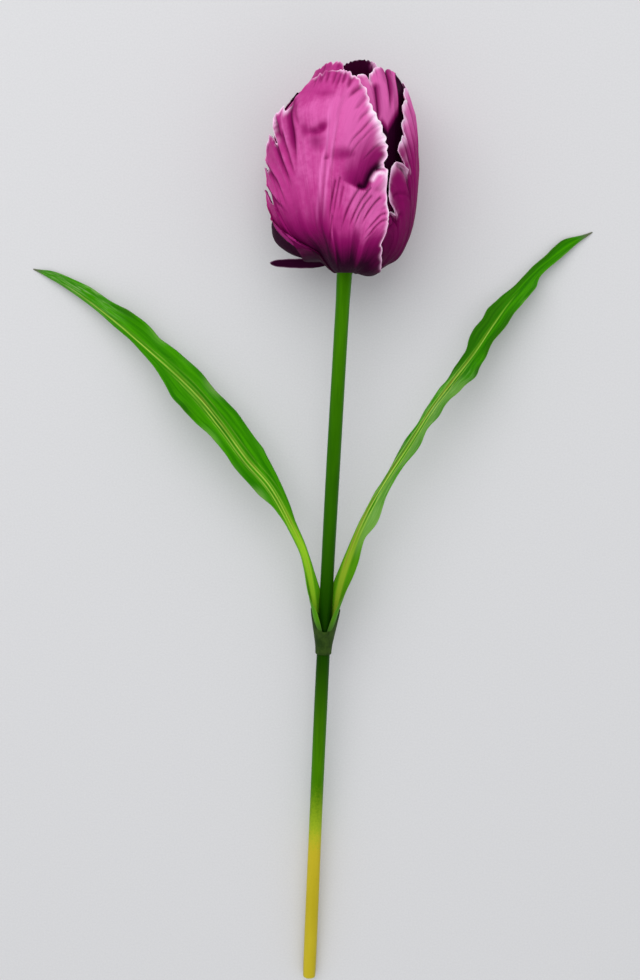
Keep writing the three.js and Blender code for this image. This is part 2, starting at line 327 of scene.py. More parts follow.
def gloss(shader, level, tint):
    """A faint shine in the colour of the skin under it."""
    shader.inputs["Specular IOR Level"].default_value = level
    shader.inputs["Specular Tint"].default_value = (*tint, 1)


# ---------------------------------------------------------------------------------- the skins of a petal

PETAL_BRIGHT = (0.70, 0.125, 0.41)
PETAL_MID = (0.50, 0.042, 0.245)
PETAL_DEEP = (0.245, 0.003, 0.105)
PETAL_MAROON = (0.021, 0.0005, 0.012)
PETAL_RIB = (0.88, 0.21, 0.58)
PETAL_RIM = (0.93, 0.52, 0.78)
PETAL_WHITE = (0.97, 0.86, 0.94)
PETAL_SHINE = (1.0, 0.25, 0.80)
LINING_DARK = (0.028, 0.0005, 0.013)
LINING_PINK = (0.38, 0.020, 0.19)
LINING_SHINE = (1.0, 0.25, 0.70)


def petal_streaks(tree):
    """Broad and fine streaks, and thin veins, that run up a petal from its foot to its fringe."""
    uv = coordinates(tree, "UV")
    broad = noise(tree, stretched(tree, uv, (22, 1.8, 1)), 1.0, 3.0, 0.55, 0.3)
    fine = noise(tree, stretched(tree, uv, (120, 3.5, 1), (3.1, 0, 0)), 1.0, 4.0, 0.6, 0.2)
    wander = noise(tree, stretched(tree, uv, (58, 2.0, 1), (7.7, 0, 0)), 1.0, 2.0, 0.5, 0.4)
    veins = fit(tree, calc(tree, "ABSOLUTE", calc(tree, "SUBTRACT", wander, 0.5)), 0.0, 0.022, 1.0, 0.0)
    return broad, fine, veins


def petal_relief(tree, place, fine):
    """The height of the fine streaks, with a grain over them."""
    grain = noise(tree, place, 2600.0, 2.0, 0.5)
    return calc(tree, "MULTIPLY_ADD", fine, 0.7, calc(tree, "MULTIPLY", grain, 0.25))


def petal_outside():
    material, tree, shader = new_material("petal_silk")
    place = coordinates(tree, "Object")
    broad, fine, veins = petal_streaks(tree)
    mottle = noise(tree, place, 70.0, 4.0, 0.6)
    speck = noise(tree, place, 330.0, 3.0, 0.6)
    # its brightness: painted light and painted shade from its relief and at given places, over its own uneven
    # tone
    tone = calc(tree, "MULTIPLY_ADD", mark(tree, "relief_shading"), 0.30, mark(tree, "tone"))
    for texture, strength in ((broad, 1.0), (mottle, 1.0), (fine, 0.45), (speck, 0.6)):
        tone = add_noise(tree, tone, texture, strength)
    colour = wash(tree, PETAL_DEEP, PETAL_MID, tone, -0.9, 0.1)
    colour = wash(tree, colour, PETAL_BRIGHT, tone, 0.0, 0.9)
    colour = mix(tree, calc(tree, "MULTIPLY", veins, 0.10), colour, PETAL_DEEP)
    broken = fit(tree, fine, 0.35, 0.6, 0.45, 0.9)
    colour = mix(tree, calc(tree, "MULTIPLY", mark(tree, "rib"), broken), colour, PETAL_RIB)
    # the maroon of the petal's foot, and painted shade in its creases, folds and hollows and where other
    # petals hide it
    maroon_and_shade = add_noise(tree, add_noise(tree, mark(tree, "maroon_and_shade"), broad, 0.20), fine, 0.16)
    colour = wash(tree, colour, PETAL_DEEP, maroon_and_shade, 0.05, 0.62, 0.0, 0.95)
    colour = wash(tree, colour, PETAL_MAROON, maroon_and_shade, 0.50, 1.05)
    # painted shade along its creases and pleats
    colour = mix(tree, calc(tree, "MULTIPLY", mark(tree, "crease"), 0.85), colour, PETAL_MAROON)
    rim = mark(tree, "rim")
    colour = wash(tree, colour, PETAL_RIM, rim, 0.0, 0.75)
    colour = wash(tree, colour, PETAL_WHITE, rim, 0.5, 1.0, 0.0, 0.85)
    surface(tree, shader, colour, mottle, (0.56, 0.68))
    gloss(shader, 0.08, PETAL_SHINE)
    relief = calc(tree, "SUBTRACT", petal_relief(tree, place, fine), calc(tree, "MULTIPLY", veins, 0.4))
    bump(tree, shader, relief, 0.0005, 0.36)
    return material


def petal_inside():
    material, tree, shader = new_material("petal_lining")
    broad, fine, veins = petal_streaks(tree)
    edge = add_noise(tree, mark(tree, "edge"), broad, 0.7)
    colour = wash(tree, LINING_DARK, LINING_PINK, edge, 0.25, 0.95)
    colour = wash(tree, colour, PETAL_MAROON, fine, 0.45, 0.75, 0.0, 0.6)
    colour = mix(tree, calc(tree, "MULTIPLY", veins, 0.4), colour, PETAL_MAROON)
    colour = wash(tree, colour, PETAL_RIM, mark(tree, "rim"), 0.35, 1.0)
    surface(tree, shader, colour, broad, (0.58, 0.70))
    gloss(shader, 0.06, LINING_SHINE)
    bump(tree, shader, petal_relief(tree, coordinates(tree, "Object"), fine), 0.0005, 0.5)
    return material


PETAL_OUTSIDE = petal_outside()
PETAL_INSIDE = petal_inside()

# ---------------------------------------------------------------------------------- the shape of a petal


class Cup:
    """Half a section through the bloom: (radius, height above the stem's top) from its foot to its rim."""

    def __init__(self, points):
        points = np.array(points, float)
        ends = np.vstack([points[0], points, points[-1]])
        t = np.linspace(0, len(points) - 1, 2001)
        i = np.minimum(t.astype(int), len(points) - 2)
        f = (t - i)[:, None]
        before, start, stop, after = (ends[i + k] for k in range(4))
        leave, arrive = (stop - before) / 2, (after - start) / 2
        self.place = (
            (2 * start - 2 * stop + leave + arrive) * f**3
            + (3 * stop - 3 * start - 2 * leave - arrive) * f**2
            + leave * f
            + start
        )
        self.run = np.concatenate([[0], np.cumsum(np.hypot(*np.diff(self.place, axis=0).T))])
        self.way = np.gradient(self.place, self.run, axis=0)
        self.way /= np.linalg.norm(self.way, axis=1, keepdims=True)

    def at(self, run, lift):
        """The radius and height of a point that far up the cup, standing off it by the lift."""
        tables = (*self.place.T, *self.way.T)
        radius, height, out, up = (np.interp(run, self.run, table) for table in tables)
        return radius + lift * up, height - lift * out


OUTER_WALL = [(6.1, 3), (13, -0.8), (24, 3), (34, 14), (39.8, 26), (42, 45), (42.5, 64), (41.3, 84)]
INNER_WALL = [(6.3, 7), (12, 4.6), (21, 8), (30, 18), (35.5, 30), (37.8, 47), (38, 66), (36.5, 86)]
OUTER_CUP = Cup(OUTER_WALL + [(37, 101), (29, 113), (18, 121)])
INNER_CUP = Cup(INNER_WALL + [(32, 103), (24, 115), (13, 123)])
BACK_CUP = Cup(INNER_WALL + [(32, 103), (27.5, 113), (25.5, 120), (24.5, 128)])
LEFT_CUP = Cup(INNER_WALL + [(31.5, 103), (23.5, 114), (19.5, 120), (17.5, 127)])

BASE_CORNER = 0.86  # the outermost streamline's share of the way round from the tip to the foot
PETAL_THICKNESS = 0.7
PETAL_EDGE = 0.45  # the share of its thickness at its margin
FAR = 30.0  # what counts as far from a margin


def settled(x, y, z, belly):
    """The bloom isn't quite round. Its foot lifts on the left and droops on the right, where the belly
    fills it out, and its left shoulder is drawn in."""
    left = smooth(-x, 4, 15) - 0.6 * smooth(-x, 14, 34)
    right = smooth(x, 24, 36)
    drawn = np.where(x < 0, 0.32 * smooth(z, 84, 112), 0)
    lifted = (7 * left - 6 * right) * (1 - smooth(z, 3, 30))
    filled = belly * smooth(x, 5, 17) * (1 - smooth(z, 3, 17))
    return nodded(x * (1 - drawn), y, z + lifted - filled)


class Petal:
    """One petal. Each side is a dictionary of
    width, foot: the degrees of the cup that it spans at its widest and at its foot
    spread: (q, degrees) pairs that widen or narrow it, by the streamline q of the way round from its tip
    curl, lean: how far its margin and its tip stand off the cup
    tuck: how far its lower margin is tucked under its neighbour
    sweep: how strongly its veins bend towards the midrib
    outline: (q, w) pairs, where its margin lies along each streamline
    slits: (q, depth, step) of each slit in its margin; the lobe below a slit stands proud of the one above
    scallops: (from q, to q, how many, how deep)
    rim: (q, mm, strength), how wide and how pale its rim is
    lining: how bright its inner side is near the margin
    """

    def __init__(self, name, cup, azimuth, length, left, right, columns, rows, belly=0.0):
        self.name, self.cup, self.azimuth, self.length = name, cup, math.radians(azimuth), length
        self.left, self.right, self.belly = left, right, belly
        self.columns, self.rows = columns, rows
        self.seed = int(azimuth) % 360
        self.c, t = streamlines(columns, rows)
        self.t = 1 - (1 - t) ** 1.4
        self.q = q = np.abs(self.c)
        path = self.face(*streamlines(columns, 23))[0]
        self.reach = np.linalg.norm(np.diff(path, axis=0), axis=-1).sum(0)[None, :] + 0 * q
        margin = self.by_side(lambda side: np.interp(q, *zip(*side.get("outline", [(0, 1), (1, 1)]))))
        self.w = self.t * (margin - self.cuts() / self.reach)
        bow = self.pick("sweep", 0.3) * between(q, 0, 0.25, 0.6, 0.98)
        self.inner = self.c - np.sign(self.c) * bow * self.w * (1 - np.minimum(self.w, 1))
        self.base, self.run, azimuths = self.face(self.inner, self.w)
        self.around = np.degrees(azimuths)
        self.step = np.linalg.norm(np.gradient(self.base, axis=1), axis=-1) * columns / 2
        self.from_margin = (1 - self.t) * self.reach
        self.lift = self.standing()
        self.crease, self.maroon_and_shade, self.rib, self.pale, self.tone = (np.zeros_like(q) for _ in range(5))

    def by_side(self, measure):
        return np.where(self.c < 0, measure(self.left), measure(self.right))

    def pick(self, key, usual=0.0):
        return self.by_side(lambda side: side.get(key, usual))

    def cuts(self):
        """How many millimetres the slits and scallops take off each streamline."""
        q = self.q

        def cut(side):
            total = np.zeros_like(q)
            for at, depth, _ in side.get("slits", ()):
                off = np.abs(q - at)
                narrow = depth * np.clip(1 - off / 0.022, 0, 1) ** 1.6
                wide = min(depth, 2.6) * np.clip(1 - off / 0.050, 0, 1) ** 1.5
                total = np.maximum(total, np.maximum(narrow, wide))
            for start, stop, count, depth in side.get("scallops", ()):
                phase = (q - start) / (stop - start) * count
                uneven = 1 + 0.4 * waver(phase, self.seed + 5, 1)
                notch = 1 - np.abs(np.sin(np.pi * (phase + 0.25 * waver(phase * 0.7, self.seed + 9, 1))))
                inside = between(q, start - 0.02, start + 0.02, stop - 0.02, stop + 0.02)
                total = total + depth * uneven * notch * inside
            return total

        nibbled = 0.22 * waver(q * 60, self.seed + 17, 2) * between(q, 0, 0.06, 0.8, 0.95)
        return self.by_side(cut) + nibbled

    def face(self, c, w, lift=0.0):
        """Points that stand off the cup by the lift, how far up the cup they are and how far round it."""
        q = np.abs(c)
        roots, ends = [], []
        for side in (self.left, self.right):
            width, foot = math.radians(side["width"]), math.radians(side["foot"])
            turn = q * BASE_CORNER * np.pi
            upper = turn < np.pi / 2
            swell = np.sin(turn) ** np.where(upper, 0.95, 0.7)
            more = np.radians(np.interp(q, *zip(*side.get("spread", [(0, 0), (1, 0)]))))
            roots.append(foot * q + 0.6 * more)
            ends.append(more + np.where(upper, width * swell, foot + (width - foot) * swell))
        root, end = np.where(c < 0, *roots), np.where(c < 0, *ends)
        end_run = self.length * (1 + np.cos(q * BASE_CORNER * np.pi)) / 2
        bend = root + 0.4 * (end - root)
        v = np.maximum(w, 0) ** 1.2
        first, second, third = (1 - v) ** 2, 2 * v * (1 - v), v * v
        run = second * 0.6 * end_run + third * end_run
        radius, height = self.cup.at(run, lift)
        azimuth = self.azimuth + np.sign(c) * (first * root + second * bend + third * end)
        points = settled(radius * np.sin(azimuth), -radius * np.cos(azimuth), height, self.belly)
        return points, run, azimuth

    def standing(self):
        """How far the petal stands off the cup, before its own creases."""
        c, w, q = self.inner, self.w, self.q
        lift = self.pick("curl") * smooth(w, 0.35, 1)
        lift = lift * smooth(np.abs(c), 0.15, 0.5) * (1 - smooth(np.abs(c), 0.75, 1))
        left, right = self.left.get("lean", 0), self.right.get("lean", 0)
        lean = left + (right - left) * smooth(c, -0.6, 0.6)
        lift = lift + lean * smooth(self.run, 0.68 * self.length, self.length)
        lift = lift - self.pick("tuck") * smooth(q, 0.5, 0.66) * smooth(w, 0.3, 0.8)
        for sign, side in ((-1, self.left), (1, self.right)):
            here = np.sign(self.c) == sign
            for at, depth, step in side.get("slits", ()):
                root = 1 - depth / self.reach
                ramp = smooth(w, root - 0.30, root + 0.06)
                above = -0.5 * np.exp(-(at - q) / 0.035) * smooth(at - q, -0.003, 0.006)
                below = 0.5 * np.exp(-(q - at) / 0.045) * smooth(q - at, -0.006, 0.003)
                lift = lift + here * step * ramp * np.where(q < at, above, below)
        seed, away, fade = self.seed, self.from_margin, smooth(w, 0.05, 0.4)
        side_mm = self.c * np.mean(self.step[-30:])
        lift = lift + 0.55 * waver(self.c * 9, seed + 2, 2) * smooth(w, 0.1, 0.8)
        lift = lift + 0.55 * fade * lumps(side_mm / 16, self.run / 20, seed + 3)
        lift = lift + 0.22 * fade * lumps(side_mm / 7, self.run / 9, seed + 4)
        lift = lift + 0.55 * waver(self.c * 27, seed + 5, 2) * np.exp(-away / 6) * fade
        lift = lift + 0.07 * waver(self.c * 80, seed + 6, 2) * np.minimum(1, self.step / 90) * fade
        lip = 0.8 * bell(away, 1.8) * smooth(q, 0.02, 0.1) * (1 - smooth(q, 0.75, 0.95))
        return lift + lip

    def path(self, *stops):
        """A line on the cup through the given (c, w) stops."""
        c, w = (np.array(values, float) for values in zip(*stops))
        share = np.linspace(0, len(stops) - 1, 12)
        c, w = (np.interp(share, range(len(stops)), values) for values in (c, w))
        return self.face(c, w)[0]

    # Raises the darkness to the given one where that is higher: the maroon of the petal and its painted
    # shade.
    def darken(self, darkness):
        self.maroon_and_shade = np.maximum(self.maroon_and_shade, darkness)

    def groove(self, *stops, width, depth, line_shade, shade=None, roll=0.0, closed=False):
        """A crease along the stops that narrows towards its last one, and fades towards it, or towards both
        ends if it is closed. Its dark line is painted shade, as strong as the line shade, and its soft dark
        sides are painted shade, as strong as the shade. Beside it the petal swells by the roll, on its right,
        or on its left where the roll is negative."""
        away, share = distance_to(self.base, self.path(*stops))
        fade = 1 - smooth(share, 0.5, 1.0)
        if closed:
            fade = fade * smooth(share, 0, 0.3)
        slim = width * (1 - 0.45 * share)
        self.lift = self.lift - depth * fade * bell(away, slim)
        heights, places = zip(*sorted((w, c) for c, w in stops))
        side = np.sign(self.inner - np.interp(self.w, heights, places))
        swell = 0.30 * depth + abs(roll) * (side * np.sign(roll) > 0)
        self.lift = self.lift + swell * fade * bell(away - 1.9 * slim, 1.5 * slim)
        self.crease = np.maximum(self.crease, line_shade * fade * bell(away, 0.5 * slim))
        shade = 0.62 * line_shade if shade is None else shade
        self.darken(shade * fade * bell(away, 2.4 * slim))

    def ridge(self, *stops, width=1.0, height=0.3, light=0.8):
        """A pale rib along the stops."""
        away, share = distance_to(self.base, self.path(*stops))
        fade = between(share, 0, 0.12, 0.8, 1.0)
        self.lift = self.lift + height * fade * bell(away, width)
        self.rib = np.maximum(self.rib, light * fade * bell(away, 0.75 * width))

    def swell(self, around, run, height, wide, long):
        """A swelling centred that many degrees round the cup and that far up it."""
        near = np.exp(-(((self.around - around) / wide) ** 2) - ((self.run - run) / long) ** 2)
        self.lift = self.lift + height * near

    def dent(self, c, w, depth, across, along, shade=0.0, slant=0.0):
        """A hollow, or a swelling where the depth is negative, that size across and along the petal. It is
        painted with shade by the shade, or with light where the shade is negative."""
        stops = ((c, w), (c + 0.01, w), (c, w + 0.01))
        centre, right, up = (self.face(np.array(a), np.array(b))[0] for a, b in stops)
        right, up, off = right - centre, up - centre, self.base - centre
        up /= np.linalg.norm(up)
        right -= up * (right @ up)
        right /= np.linalg.norm(right)
        cosine, sine = math.cos(slant), math.sin(slant)
        u, v = off @ right, off @ up
        near = np.exp(-(((u * cosine + v * sine) / across) ** 2) - ((v * cosine - u * sine) / along) ** 2)
        self.lift = self.lift - depth * near
        if shade > 0:
            self.darken(shade * near)
        else:
            self.tone = self.tone - shade * near

    def frill(self, count, start, stop, depth, long):
        """Short fine pleats that run in from the margin, along the streamlines."""
        rng = np.random.default_rng(self.seed + 40)
        for _ in range(count):
            at = rng.choice((-1, 1)) * rng.uniform(start, stop)
            length, width, line_shade = rng.uniform(0.3, 1) * long, rng.uniform(0.35, 0.6), rng.uniform(0.1, 0.55)
            near = bell((self.c - at) * self.step, width)
            near = near * (1 - smooth(self.from_margin, 0.3 * length, length))
            near = near * smooth(self.from_margin, 0.2, 1.5)
            self.lift = self.lift - rng.uniform(0.5, 1) * depth * near
            # each pleat is painted with shade along its line
            self.crease = np.maximum(self.crease, line_shade * near)

    def shade_foot(self, left, right=None):
        """Darkens each side of the petal by (share of its height, darkness) steps: the maroon of its foot,
        with painted shade where it turns under.
        """
        height = self.run / self.length + 0.04 * waver(self.c * 9, self.seed + 20, 3)
        shades = [np.interp(height, *zip(*steps)) for steps in (left, right or left)]
        share = smooth(self.c, -0.06, 0.14)
        self.darken(shades[0] * (1 - share) + shades[1] * share)

    def from_rim(self, points):
        """How far each point is from the margin itself, and simply FAR for those well inside."""
        rim_line = KDTree(self.columns + 1)
        for k, point in enumerate(points[-1]):
            rim_line.insert(Vector(point), k)
        rim_line.balance()
        near = self.from_margin < FAR - 4
        away = np.full(self.c.shape, FAR)
        away[near] = [rim_line.find(Vector(point))[2] for point in points[near]]
        return away

    def rim_marks(self, away):
        """How pale the rim makes each place."""

        def measured(column):
            return self.by_side(
                lambda side: np.interp(self.q, *zip(*[(step[0], step[column]) for step in side["rim"]]))
            )

        width, strength = measured(1), measured(2)
        uneven = np.clip(1 + 0.45 * waver(self.c * 45, self.seed + 8, 2), 0.35, 1.6)
        patchy = np.clip(strength + 0.25 * waver(self.c * 31, self.seed + 12, 2), 0, 1)
        rim = patchy * np.exp(-((away / (width * uneven)) ** 1.5)) * smooth(self.w, 0.2, 0.5)
        return np.clip(np.maximum(rim, self.pale), 0, 1)

    def made(self):
        """The finished petal."""
        points = self.face(self.inner, self.w, self.lift)[0]
        away = self.from_rim(points)
        linings = [side.get("lining", 1) for side in (self.left, self.right)]
        marks = {
            "rim": self.rim_marks(away),
            "edge": (1 - smooth(away, 0.5, 13.0)) * np.interp(self.c, [-0.20, -0.05], linings),
            # painted light on its swellings and painted shade in its hollows, taken from its own relief
            "relief_shading": np.clip((self.lift - softened(self.lift, 24)) / 0.7, -1, 1),
            "crease": np.clip(self.crease, 0, 1),
            "maroon_and_shade": np.clip(self.maroon_and_shade, 0, 1.3),
            "rib": np.clip(self.rib, 0, 1),
            "tone": np.clip(self.tone, -1, 1),
        }
        thick = smooth(away, 0, 5) * smooth(self.w, 0, 0.1)
        sheet = new_sheet(self.name, self.columns, self.rows)
        shape_sheet(sheet, points, ((self.c + 1) / 2, self.w), marks, (PETAL_OUTSIDE, PETAL_INSIDE))
        return thicken_sheet(sheet, thick, PETAL_THICKNESS, PETAL_EDGE)


# ---------------------------------------------------------------------------------- the petals


FRONT_LEFT = {
    "width": 74, "foot": 38, "curl": 2.6, "sweep": 0.28,
    "spread": [
        (0, 0), (0.58, 0), (0.62, -4), (0.65, -13), (0.7, -30), (0.75, -33), (0.78, -34),
        (0.84, -25), (0.9, 1), (1, -3),
    ],
    "outline": [
        (0, 0.983), (0.05, 0.99), (0.1, 0.988), (0.17, 0.985), (0.2, 0.966), (0.225, 0.925),
        (0.25, 0.905), (0.268, 0.935), (0.285, 0.985), (0.3, 1.0), (0.33, 1.0), (0.37, 1.0),
        (0.385, 0.95), (0.41, 0.955), (0.46, 1.0), (0.6, 1.015), (0.7, 1), (1, 1),
    ],
    "slits": [
        (0.262, 3, 0.8), (0.312, 4, 1.0), (0.365, 20, 1.7), (0.487, 14, 1.5), (0.555, 25, 1.7),
        (0.66, 5, 1.0), (0.76, 3, 0.6),
    ],
    "scallops": [(0.05, 0.24, 6, 1.3)],
    "rim": [
        (0, 0.9, 0.55), (0.22, 0.8, 0.3), (0.27, 2.4, 1), (0.33, 2.0, 0.9), (0.38, 1.6, 0.8),
        (0.48, 1.2, 0.7), (0.55, 1.0, 0.5), (0.62, 0.6, 0.1), (0.68, 0.3, -0.4), (1, 0.3, -0.4),
    ],
}
FRONT_RIGHT = {
    "width": 51.5, "foot": 56, "curl": 1.0, "sweep": 0.6,
    "spread": [(0, 0), (0.72, 0), (0.78, 2), (0.84, 10), (0.87, 17), (0.9, 21), (0.94, 27), (1, 28)],
    "outline": [
        (0, 0.985), (0.1, 0.995), (0.2, 1.005), (0.26, 0.99), (0.31, 0.965), (0.35, 0.958),
        (0.39, 0.968), (0.43, 0.99), (0.46, 0.99), (0.49, 0.965), (0.53, 0.905), (0.56, 0.87),
        (0.60, 0.855), (0.64, 0.86), (0.68, 0.92), (0.71, 0.955), (0.735, 0.955), (0.76, 0.92),
        (0.79, 0.97), (0.84, 0.99), (1, 1),
    ],
    "slits": [(0.765, 4, 0.5)],
    "scallops": [
        (0.04, 0.22, 6, 1.2), (0.22, 0.37, 4, 1.3), (0.37, 0.53, 4.4, 2.6), (0.6, 0.84, 6, 0.8),
    ],
    "rim": [
        (0, 0.9, 0.6), (0.2, 1.3, 0.7), (0.33, 2.4, 1), (0.48, 3.0, 1), (0.56, 2.6, 1),
        (0.66, 1.6, 0.7), (0.78, 1.2, 0.7), (0.85, 0.9, 0.4), (0.89, 0.5, 0), (1, 0.3, -0.3),
    ],
}


def slit_creases(petal):
    """The creases of the front petal that run down and inwards from the slits of its left side."""
    for stops, width, depth, line_shade, shade, roll in (
        (((-0.34, 0.89), (-0.326, 0.802), (-0.29, 0.67), (-0.267, 0.552)), 1.6, 1.2, 0.7, None, 0.5),
        (
            ((-0.21, 0.915), (-0.193, 0.837), (-0.189, 0.76), (-0.19, 0.69), (-0.21, 0.58)),
            1.8, 1.4, 0.5, 0.62, 0,
        ),
        (((-0.172, 0.875), (-0.131, 0.753)), 2.0, 0.9, 0.3, None, 0),
        (((-0.274, 0.825), (-0.247, 0.7), (-0.216, 0.58)), 1.8, 0.9, 0.4, None, 0.3),
        (((-0.475, 0.943), (-0.436, 0.833), (-0.385, 0.705), (-0.377, 0.54)), 1.4, 1.0, 0.8, None, 0.4),
        (
            ((-0.529, 0.895), (-0.505, 0.8), (-0.46, 0.682), (-0.417, 0.608), (-0.369, 0.51)),
            1.2, 1.0, 0.7, None, 0.4,
        ),
        (((-0.33, 0.965), (-0.303, 0.90), (-0.292, 0.85), (-0.286, 0.78)), 1.5, 1.1, 0.5, 0.7, 0),
    ):
        petal.groove(*stops, width=width, depth=depth, line_shade=line_shade, shade=shade, roll=roll)
    petal.ridge(
        (-0.285, 0.975), (-0.257, 0.873), (-0.244, 0.803), (-0.234, 0.72),
        width=1.6, height=0.5, light=0.45,
    )


def double_midrib(petal):
    """Its double midrib, with a small step across it, and painted light along its spine."""
    petal.groove(
        (0.045, 0.86), (0.02, 0.70), (0.0, 0.57), (-0.018, 0.45), (-0.06, 0.31), (-0.10, 0.22),
        width=1.5, depth=0.5, line_shade=0.25, closed=True,
    )
    spine = petal.path((0.06, 0.86), (0.03, 0.66), (-0.005, 0.5), (-0.05, 0.36), (-0.1, 0.24))
    petal.tone = petal.tone + 0.45 * bell(distance_to(petal.base, spine)[0], 2.6)
    petal.ridge(
        (0.035, 0.88), (0.018, 0.677), (-0.015, 0.61), (-0.027, 0.532), (-0.065, 0.42), (-0.114, 0.30),
        width=1.3, light=0.75,
    )
    petal.ridge(
        (0.085, 0.82), (0.04, 0.613), (0.008, 0.53), (-0.011, 0.44), (-0.045, 0.33),
        width=1.1, light=0.6,
    )
    petal.groove(
        (-0.012, 0.620), (0.022, 0.626), (0.055, 0.632),
        width=0.9, depth=0.6, line_shade=0.6, closed=True,
    )


def lower_creases(petal):
    """The creases of its lower middle and of the lobe at its lower right."""
    for start, middle, stop, width, depth, line_shade in (
        ((0.083, 0.545), (0.05, 0.46), (0.02, 0.34), 1.1, 0.6, 0.6),
        ((0.119, 0.56), (0.09, 0.47), (0.066, 0.38), 0.9, 0.5, 0.5),
        ((0.062, 0.408), (0.03, 0.32), (0.0, 0.24), 0.9, 0.5, 0.4),
        ((0.154, 0.535), (0.135, 0.47), (0.115, 0.41), 0.8, 0.4, 0.4),
        ((0.296, 0.598), (0.2, 0.453), (0.149, 0.35), 1.0, 0.8, 0.75),
        ((0.379, 0.655), (0.278, 0.475), (0.23, 0.38), 0.9, 0.8, 0.8),
        ((0.406, 0.642), (0.321, 0.49), (0.28, 0.39), 0.8, 0.7, 0.7),
        ((0.498, 0.748), (0.41, 0.56), (0.36, 0.45), 0.9, 0.8, 0.8),
        ((0.598, 0.83), (0.504, 0.605), (0.40, 0.41), 0.9, 0.7, 0.6),
        ((0.65, 0.9), (0.506, 0.537), (0.43, 0.40), 0.8, 0.6, 0.5),
    ):
        looks = {"line_shade": line_shade, "shade": 0.35 * line_shade, "roll": 0.25}
        petal.groove(start, middle, stop, width=0.85 * width, depth=depth, **looks)


def scallop_creases(petal):
    """The creases that run in from its scallops."""
    for stops, width, depth, line_shade in (
        (((0.23, 1.0), (0.175, 0.93), (0.121, 0.86)), 2.0, 1.2, 0.7),
        (((0.258, 0.978), (0.209, 0.885), (0.175, 0.84)), 1.6, 0.9, 0.4),
        (((0.291, 0.938), (0.235, 0.858), (0.209, 0.80)), 1.2, 0.8, 0.45),
        (((0.326, 0.948), (0.246, 0.807), (0.191, 0.735), (0.15, 0.66)), 1.0, 0.7, 0.65),
        (((0.365, 0.963), (0.272, 0.8), (0.21, 0.708), (0.16, 0.62)), 0.9, 0.6, 0.4),
        (((0.435, 0.975), (0.334, 0.787), (0.265, 0.67)), 0.9, 0.6, 0.4),
    ):
        looks = {"line_shade": 0.8 * line_shade, "shade": 0.35 * line_shade, "roll": -0.25}
        petal.groove(*stops, width=0.8 * width, depth=depth, **looks)


def top_pleats(petal):
    """Short pleats under its ruffled top."""
    for start, stop in (
        ((-0.121, 1.0), (-0.125, 0.945)), ((-0.086, 1.0), (-0.07, 0.915)), ((0.019, 0.985), (0.004, 0.895)),
        ((0.074, 1.0), (0.035, 0.88)), ((0.117, 1.0), (0.078, 0.90)), ((0.156, 1.0), (0.125, 0.90)),
        ((-0.04, 0.985), (-0.035, 0.91)),
    ):
        petal.groove(start, stop, width=1.3, depth=0.9, line_shade=0.4)
    petal.frill(46, 0.05, 0.75, 0.35, 13)


def dimple(petal):
    """A dimple beside its midrib with a swelling over it, and its lighter and darker places,
    which are painted light and painted shade.
    """
    petal.groove(
        (0.03, 0.775), (-0.01, 0.738), (-0.045, 0.722), (-0.09, 0.732), (-0.12, 0.76),
        width=2.4, depth=1.3, line_shade=0.0, shade=0.22, closed=True,
    )
    for dent in (  # c, w, depth, across, along, shade, slant
        (-0.014, 0.736, 0.6, 4.2, 2.7, 0.54, 0.7),
        (-0.050, 0.726, 0.2, 5.4, 2.2, 0.50, -0.1),
        (-0.105, 0.742, 0.2, 3.6, 4.8, 0.38),
        (-0.045, 0.69, 0.3, 5.0, 6.5, 0.42, 0.5),
        (-0.08, 0.81, -1.8, 11, 7.5, -0.2),
        (-0.02, 0.875, 0.7, 7, 2.6, 0.30),
        (0.17, 0.85, -1.2, 14, 15, -0.7),
        (0.32, 0.90, -0.4, 7, 16, -1.6),
        (-0.12, 0.62, 0.0, 16, 22, -0.4),
        (0.28, 0.80, 0.0, 10, 24, -1.2),
        (0.16, 0.665, 0.8, 10, 4.5, 0.5, 0.1),
    ):
        petal.dent(*dent)


def fold(petal):
    """Between its two right lobes the petal dips, and the lower lobe stands proud with a curled tip.
    Shade is painted in the dip and around it, and light on the lower lobe.
    """
    c, w = petal.inner, petal.w
    across = [0.17, 0.26, 0.294, 0.334, 0.363, 0.379, 0.392, 0.416, 0.464, 0.50]
    along = [0.555, 0.572, 0.583, 0.605, 0.638, 0.68, 0.735, 0.782, 0.87, 0.93]
    away, _ = distance_to(petal.base, petal.path(*zip(across, along)))
    ramp = smooth(c, 0.17, 0.31) * (c > 0)
    over = w > np.interp(c, across, along)
    signed = np.where(over, away, -away)
    upper = smooth(signed, -0.4, 1.6)
    petal.lift = petal.lift - ramp * upper * 3.2 * np.exp(-away / 9)
    petal.lift = petal.lift + ramp * (1 - upper) * 1.8 * np.exp(-away / 5)
    petal.darken(ramp * upper * 1.2 * np.exp(-((away / 8) ** 1.4)))
    petal.darken(smooth(c, 0.02, 0.28) * (c > 0) * smooth(signed, -1.5, 1.5) * 0.72 * bell(away, 20))
    petal.tone = petal.tone + smooth(c, 0.14, 0.32) * (1 - upper) * bell(away, 26)
    tip, _ = distance_to(petal.base, petal.path((0.381, 0.703), (0.403, 0.758), (0.461, 0.84)))
    petal.pale = np.maximum(petal.pale, (1 - upper) * 0.8 * bell(tip, 1.5))
    petal.dent(0.46, 0.79, -2.0, 3.0, 4.0)
    petal.dent(0.45, 0.73, 0.8, 2.0, 2.0, 0.3)


def front_petal():
    petal = Petal("front_outer_petal", OUTER_CUP, -16, 136, FRONT_LEFT, FRONT_RIGHT, 430, 112, belly=2.4)
    petal.shade_foot(
        [(0.10, 1.25), (0.16, 1.0), (0.26, 0.78), (0.36, 0.52), (0.46, 0.18), (0.56, 0)],
        [(0.10, 1.25), (0.15, 1.0), (0.22, 0.76), (0.27, 0.50), (0.31, 0.18), (0.36, 0)],
    )
    petal.darken(0.82 * smooth(-petal.c, 0.56, 0.68) * (1 - smooth(petal.run / petal.length, 0.30, 0.46)))
    slit_creases(petal)
    double_midrib(petal)
    lower_creases(petal)
    scallop_creases(petal)
    top_pleats(petal)
    dimple(petal)
    fold(petal)
    return petal.made()


